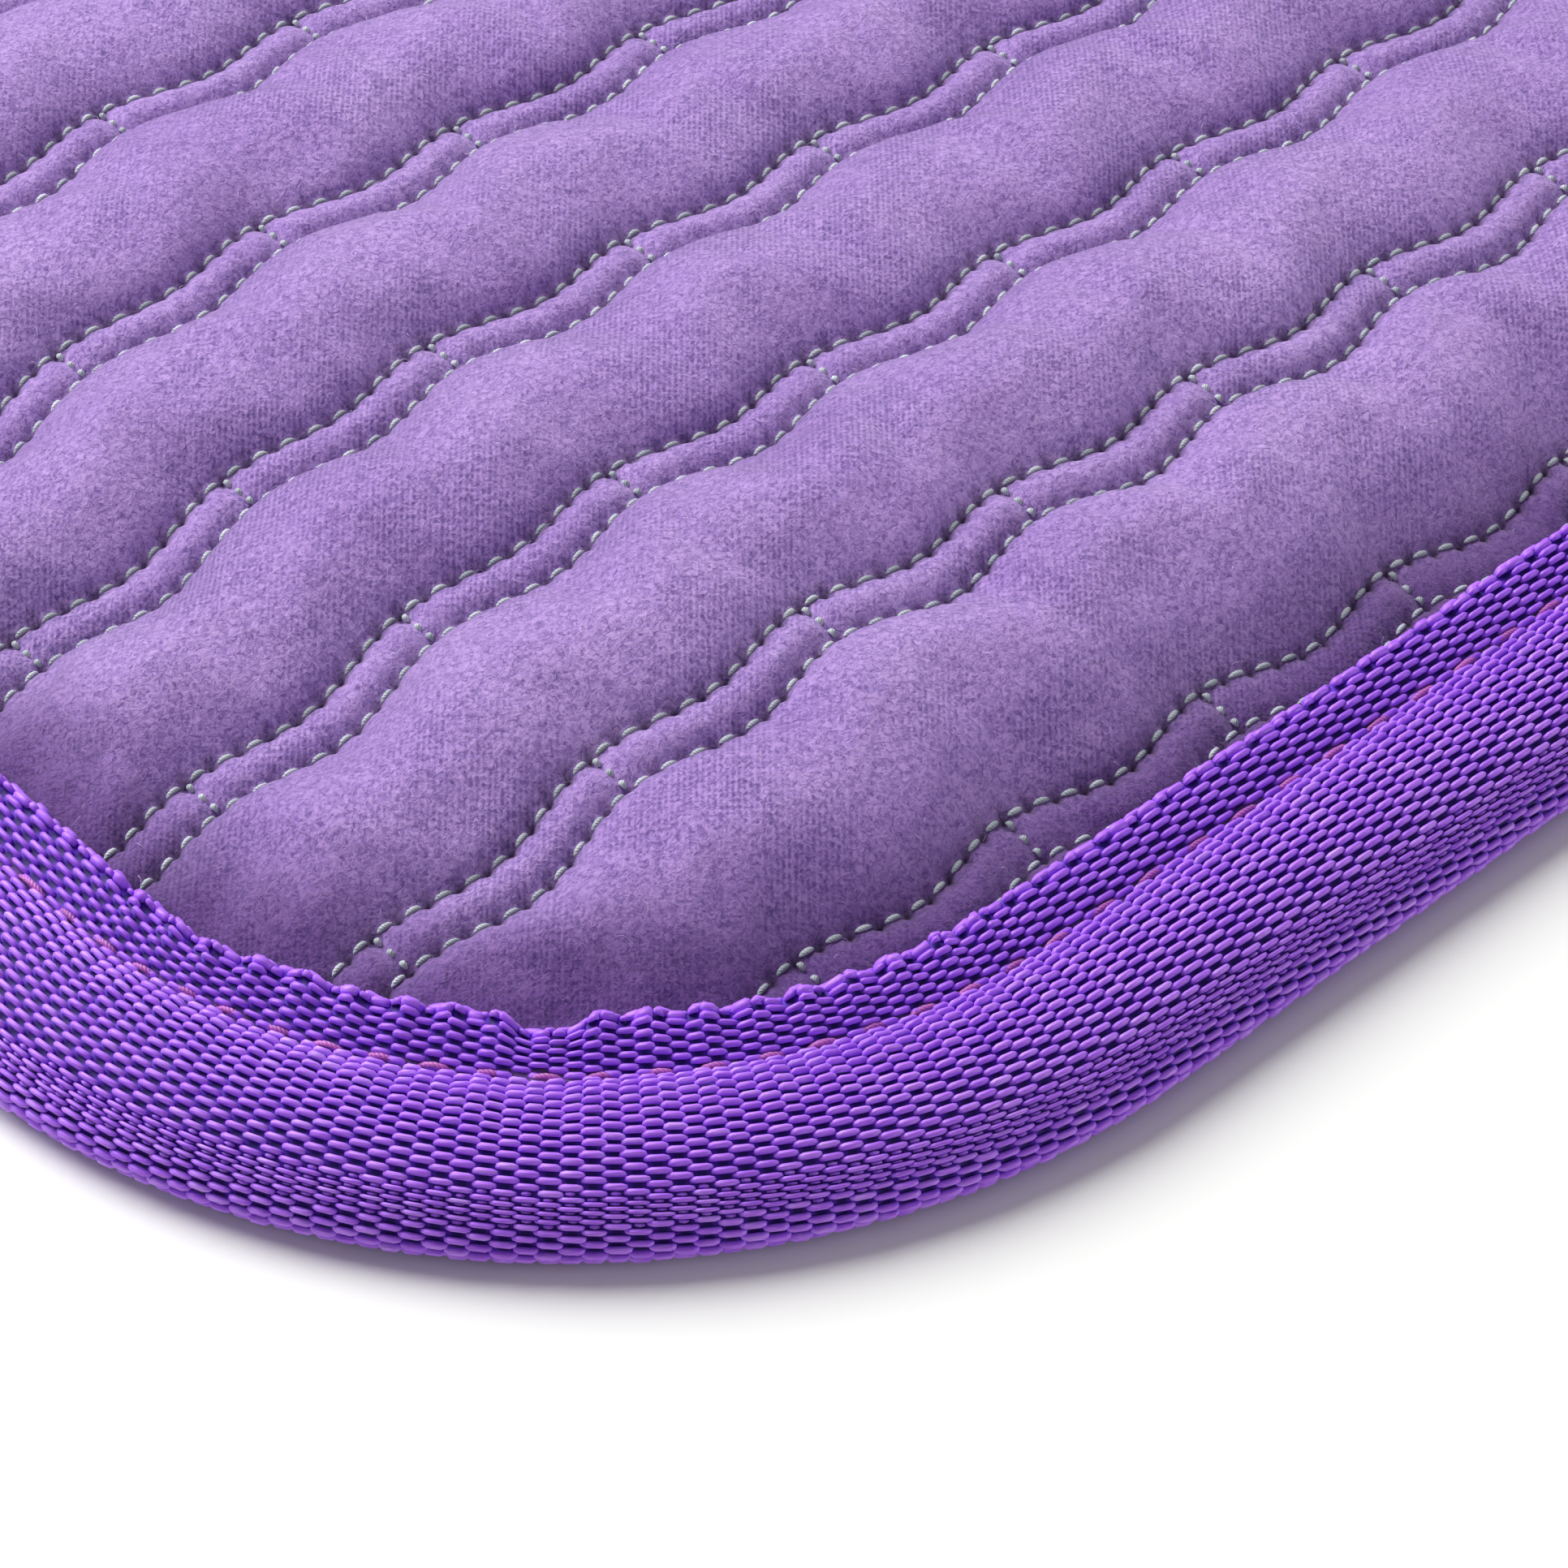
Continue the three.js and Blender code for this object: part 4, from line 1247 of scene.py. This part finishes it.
def stitch_points(starts, finishes, ups, radius, sink, template, share):
    """Stitches between pairs of needle holes: plump in the middle, dipping in at both ends."""
    along = finishes - starts
    length = np.linalg.norm(along, axis=1, keepdims=True)
    along = along / length
    side = np.cross(ups, along)
    side = side / np.linalg.norm(side, axis=1, keepdims=True)
    up = np.cross(along, side)
    middle = (starts + finishes) / 2
    a = template[:, 0]
    plump = 1.0 + 0.25 * (1 - a * a)
    dip = sink * np.abs(a) ** 2.5
    return (
        middle[:, None]
        + along[:, None] * (a[None, :, None] * share * length[:, None] / 2)
        + side[:, None] * (template[:, 1] * radius * plump)[None, :, None]
        + up[:, None] * (template[:, 2] * radius * plump - dip)[None, :, None]
    )


def add_stitches(name, shape, starts, finishes, ups, radius, sink, share, rng):
    """Stitches of thread between pairs of needle holes, each with its own tone."""
    template, faces = shape
    points = stitch_points(starts, finishes, ups, radius, sink, template, share)
    piece = new_mesh(name, points.reshape(-1, 3), copies(template, faces, len(starts)))
    length = np.linalg.norm(finishes - starts, axis=1)
    turn = np.arctan2(template[:, 2], template[:, 1]) * radius
    uv = np.stack([template[None, :, 0] * length[:, None] / 2, turn[None].repeat(len(starts), 0)], -1)
    give_uv(piece, uv.reshape(-1, 2))
    tones = np.clip(0.5 + 0.25 * rng.standard_normal(len(starts)), 0, 1)
    give_tone(piece, "tone", np.repeat(tones, len(template)))
    return piece


PATH_SINK = 0.26
RUNG_SINK = 0.31
QUILT_DIP = 0.34
QUILT_SHARE = 0.58  # how much of each stitch shows above the pile
STITCHES_PER_RUNG = 3
BINDING_THICKNESS = 0.58
BINDING_DIP = 0.5
BINDING_SHARE = 0.7


def stitch_shape():
    """One plump stitch, as points and triangles."""
    return yarn_template("stitch", 5, (-0.9, -0.55, 0.0, 0.55, 0.9), 2.6)


def slope_normals(x, y):
    """Upward normals of the seam surface."""
    step = 0.5
    gx = (seam_height(x + step, y) - seam_height(x - step, y)) / (2 * step)
    gy = (seam_height(x, y + step) - seam_height(x, y - step)) / (2 * step)
    normals = np.stack([-gx, -gy, np.ones(x.shape)], -1)
    return normals / np.linalg.norm(normals, axis=-1, keepdims=True)


class KNEELPAD_OT_quilt_stitches(bpy.types.Operator):
    """Makes the ladder seams, stitch by stitch"""

    bl_idname = "kneelpad.quilt_stitches"
    bl_label = "Quilting Stitches"

    def execute(self, context):
        settings = context.scene.kneelpad_stitches
        thread = thread_material(
            "grey_polyester_thread_spun", settings.quilt_light, settings.quilt_dark, 0.32, 0.6
        )
        shape = stitch_shape()
        radius = settings.quilt_thickness / MM / 2
        rng = np.random.default_rng(SEED + 20)
        holes = FIRST_RUNG + STITCH_STEP * np.arange(-16, 140)
        rungs = FIRST_RUNG + REPEAT * np.arange(-2, 16)
        for row, centre in enumerate(ROW_CENTRES):
            starts, finishes = [], []
            for rail in (-RAIL_HALF, RAIL_HALF):
                path = self.holes_at(holes, centre + rail, PATH_SINK)
                inside = inset_at(path[:, 0], path[:, 1]) > TAPE_COVER - 1.5 * TAPE_LAP
                keep = inside[:-1] & inside[1:]
                starts.append(path[:-1][keep])
                finishes.append(path[1:][keep])
            across = centre + np.linspace(-RAIL_HALF, RAIL_HALF, STITCHES_PER_RUNG + 1)
            steps = [self.holes_at(rungs, v, RUNG_SINK) for v in across]
            for low, high in zip(steps[:-1], steps[1:]):
                keep = inset_at(low[:, 0], low[:, 1]) > TAPE_COVER
                starts.append(low[keep])
                finishes.append(high[keep])
            starts = np.concatenate(starts)
            finishes = np.concatenate(finishes)
            middle = (starts + finishes) / 2
            ups = slope_normals(middle[:, 0], middle[:, 1]) + 0.12 * rng.standard_normal((len(starts), 3))
            name = f"quilt_stitches_{row + 1:02d}"
            seam = add_stitches(name, shape, starts, finishes, ups, radius, QUILT_DIP, QUILT_SHARE, rng)
            finish_piece(seam, thread, [f"quilt_stitching_{row + 1:02d}"])
        return {"FINISHED"}

    def holes_at(self, x, v, sink):
        """Needle holes at x along a line that sways with the seams, sunk into the cover."""
        y = v + wave(x)
        return np.stack([x, y, seam_height(x, y) - sink], -1)


class KNEELPAD_OT_binding_stitches(bpy.types.Operator):
    """Makes the stitch line that holds the binding, on both faces"""

    bl_idname = "kneelpad.binding_stitches"
    bl_label = "Binding Stitches"

    def execute(self, context):
        settings = context.scene.kneelpad_stitches
        thread = thread_material(
            "rose_polyester_thread_bonded", settings.binding_light, settings.binding_dark, 0.4, 0.45
        )
        rng = np.random.default_rng(SEED + 30)
        shape = stitch_shape()
        lower_across = float(np.interp(STITCH_INSET, PROFILE_INSET[-60:], PROFILE_RUN[-60:]))
        for name, across, node, up in (
            ("binding_needle_stitches", STITCH_ACROSS, "binding_needle_thread", 1.0),
            ("binding_bobbin_stitches", lower_across, "binding_bobbin_thread", -1.0),
        ):
            holes = (np.arange(STITCH_COUNT) + 0.5) * BINDING_STEP
            sway = 0.12 * ripple(holes, 0 * holes, 31.0, SEED + 31)
            out = 0.02 if up > 0 else 0.05
            starts = tape_point(holes, across + sway, np.full(STITCH_COUNT, out))
            finishes = np.roll(starts, -1, axis=0)
            ups = np.tile([0.0, 0.0, up], (STITCH_COUNT, 1)) + 0.08 * rng.standard_normal((STITCH_COUNT, 3))
            radius = BINDING_THICKNESS / 2
            seam = add_stitches(name, shape, starts, finishes, ups, radius, BINDING_DIP, BINDING_SHARE, rng)
            finish_piece(seam, thread, [node])
        return {"FINISHED"}


# ---- Stage ----------------------------------------------------------------


class PadStageSettings(bpy.types.PropertyGroup):
    floor: hue("Floor", "Floor colour", "#F5F5F3")
    key: bpy.props.FloatProperty(
        name="Key light", description="Power of the key light", default=34.5, min=0, unit="POWER"
    )
    sky: bpy.props.FloatProperty(
        name="Soft light", description="Strength of the room light", default=0.2, min=0
    )


# Camera against the pad, in millimetres and degrees; the floor and the lights are in metres.
CAMERA_PLACE = (-365.9, -329.7, 302.9)
CAMERA_DOWN = 42.6
CAMERA_HEADING = 47.7
CAMERA_ROLL = -0.34
CAMERA_LENS = 108.0
CAMERA_SENSOR = 36.0
FLOOR_SIZE = 8.0
LIGHTS = (  # name, place, width and share of the key light's power
    ("key", (-0.2, 0.95, 0.92), 1.3, 1.0),
    ("fill", (-1.2, -0.5, 0.8), 1.4, 0.05),
    ("low_card", (1.0, -1.3, 0.22), 0.4, 0.2),
)


class KNEELPAD_OT_stage(bpy.types.Operator):
    """Makes the floor, the lights and the camera"""

    bl_idname = "kneelpad.stage"
    bl_label = "Stage"

    def execute(self, context):
        settings = context.scene.kneelpad_stage
        self.make_floor(settings)
        self.make_lights(settings)
        data = bpy.data.cameras.new("camera")
        data.lens = CAMERA_LENS
        data.sensor_width = CAMERA_SENSOR
        data.clip_start = 0.01
        camera = bpy.data.objects.new("camera", data)
        context.scene.collection.objects.link(camera)
        camera.location = [c * MM for c in CAMERA_PLACE]
        facing = Euler((math.radians(90 - CAMERA_DOWN), 0, math.radians(CAMERA_HEADING - 90)))
        camera.rotation_mode = "QUATERNION"
        camera.rotation_quaternion = facing.to_quaternion() @ Quaternion((0, 0, 1), math.radians(CAMERA_ROLL))
        context.scene.camera = camera
        return {"FINISHED"}

    def make_floor(self, settings):
        """A wide flat sheet of matt white board."""
        bpy.ops.object.select_all(action="DESELECT")
        bpy.ops.mesh.primitive_plane_add(size=FLOOR_SIZE, location=(0, 0, 0))
        floor = bpy.context.object
        floor.name = "floor"
        bpy.ops.object.mode_set(mode="EDIT")
        bpy.ops.mesh.select_all(action="SELECT")
        bpy.ops.mesh.subdivide(number_cuts=3)
        bpy.ops.object.mode_set(mode="OBJECT")
        material, tree, shader = new_material("white_board_matt", Roughness=0.6)
        place = add_node(tree, "TexCoord", "Object", {})
        clouds = {"Vector": place, "Scale": per_metre(240.0), "Detail": 3.0, "Roughness": 0.55}
        faint = add_node(tree, "TexNoise", "Fac", clouds)
        stops = [(0.3, settings.floor), (0.7, "#FAFAF8")]
        board = add_node(tree, "ValToRGB", "Color", {"Fac": faint}, stops)
        tree.links.new(board, shader.inputs["Base Color"])
        floor.data.materials.append(material)

    def make_lights(self, settings):
        """A key light, a fill, a low card and an even room light."""
        scene = bpy.context.scene
        scene.view_settings.view_transform = "Standard"
        world = bpy.data.worlds.new("studio")
        scene.world = world
        world.use_nodes = True
        background = world.node_tree.nodes["Background"]
        background.inputs["Color"].default_value = colour("#FFFEFA")
        background.inputs["Strength"].default_value = settings.sky
        for name, place, size, share in LIGHTS:
            data = bpy.data.lights.new(name, "AREA")
            data.shape = "DISK"
            data.size = size
            data.energy = share * settings.key
            lamp = bpy.data.objects.new(name, data)
            scene.collection.objects.link(lamp)
            lamp.location = place
            lamp.rotation_mode = "QUATERNION"
            lamp.rotation_quaternion = (-lamp.location).to_track_quat("-Z", "Y")


# ---- Panel and registration -----------------------------------------------

STEPS = (
    KNEELPAD_OT_stage,
    KNEELPAD_OT_velour_cover,
    KNEELPAD_OT_pile_fibres,
    KNEELPAD_OT_inner_layers,
    KNEELPAD_OT_backing,
    KNEELPAD_OT_binding_tape,
    KNEELPAD_OT_quilt_stitches,
    KNEELPAD_OT_binding_stitches,
)
SETTINGS = {
    "kneelpad_cover": PadCoverSettings,
    "kneelpad_backing": PadBackingSettings,
    "kneelpad_binding": PadBindingSettings,
    "kneelpad_stitches": PadStitchSettings,
    "kneelpad_stage": PadStageSettings,
}


class KNEELPAD_PT_panel(bpy.types.Panel):
    """Lists the pad's pieces in the order they are made"""

    bl_idname = "KNEELPAD_PT_panel"
    bl_label = "Kneeling Pad"
    bl_space_type = "VIEW_3D"
    bl_region_type = "UI"
    bl_category = "Kneeling Pad"

    def draw(self, context):
        for step in STEPS:
            self.layout.operator(step.bl_idname)
        for name, group in SETTINGS.items():
            box = self.layout.box()
            for key in group.__annotations__:
                box.prop(getattr(context.scene, name), key)


def register():
    for group in SETTINGS.values():
        bpy.utils.register_class(group)
    for cls in (*STEPS, KNEELPAD_PT_panel):
        bpy.utils.register_class(cls)
    for name, group in SETTINGS.items():
        setattr(bpy.types.Scene, name, bpy.props.PointerProperty(type=group))


def unregister():
    for name in SETTINGS:
        delattr(bpy.types.Scene, name)
    for cls in (KNEELPAD_PT_panel, *reversed(STEPS)):
        bpy.utils.unregister_class(cls)
    for group in SETTINGS.values():
        bpy.utils.unregister_class(group)


def main():
    register()
    bpy.ops.kneelpad.stage()
    bpy.ops.kneelpad.velour_cover()
    bpy.ops.kneelpad.pile_fibres()
    bpy.ops.kneelpad.inner_layers()
    bpy.ops.kneelpad.backing()
    bpy.ops.kneelpad.binding_tape()
    bpy.ops.kneelpad.quilt_stitches()
    bpy.ops.kneelpad.binding_stitches()


if __name__ == "__main__":
    main()
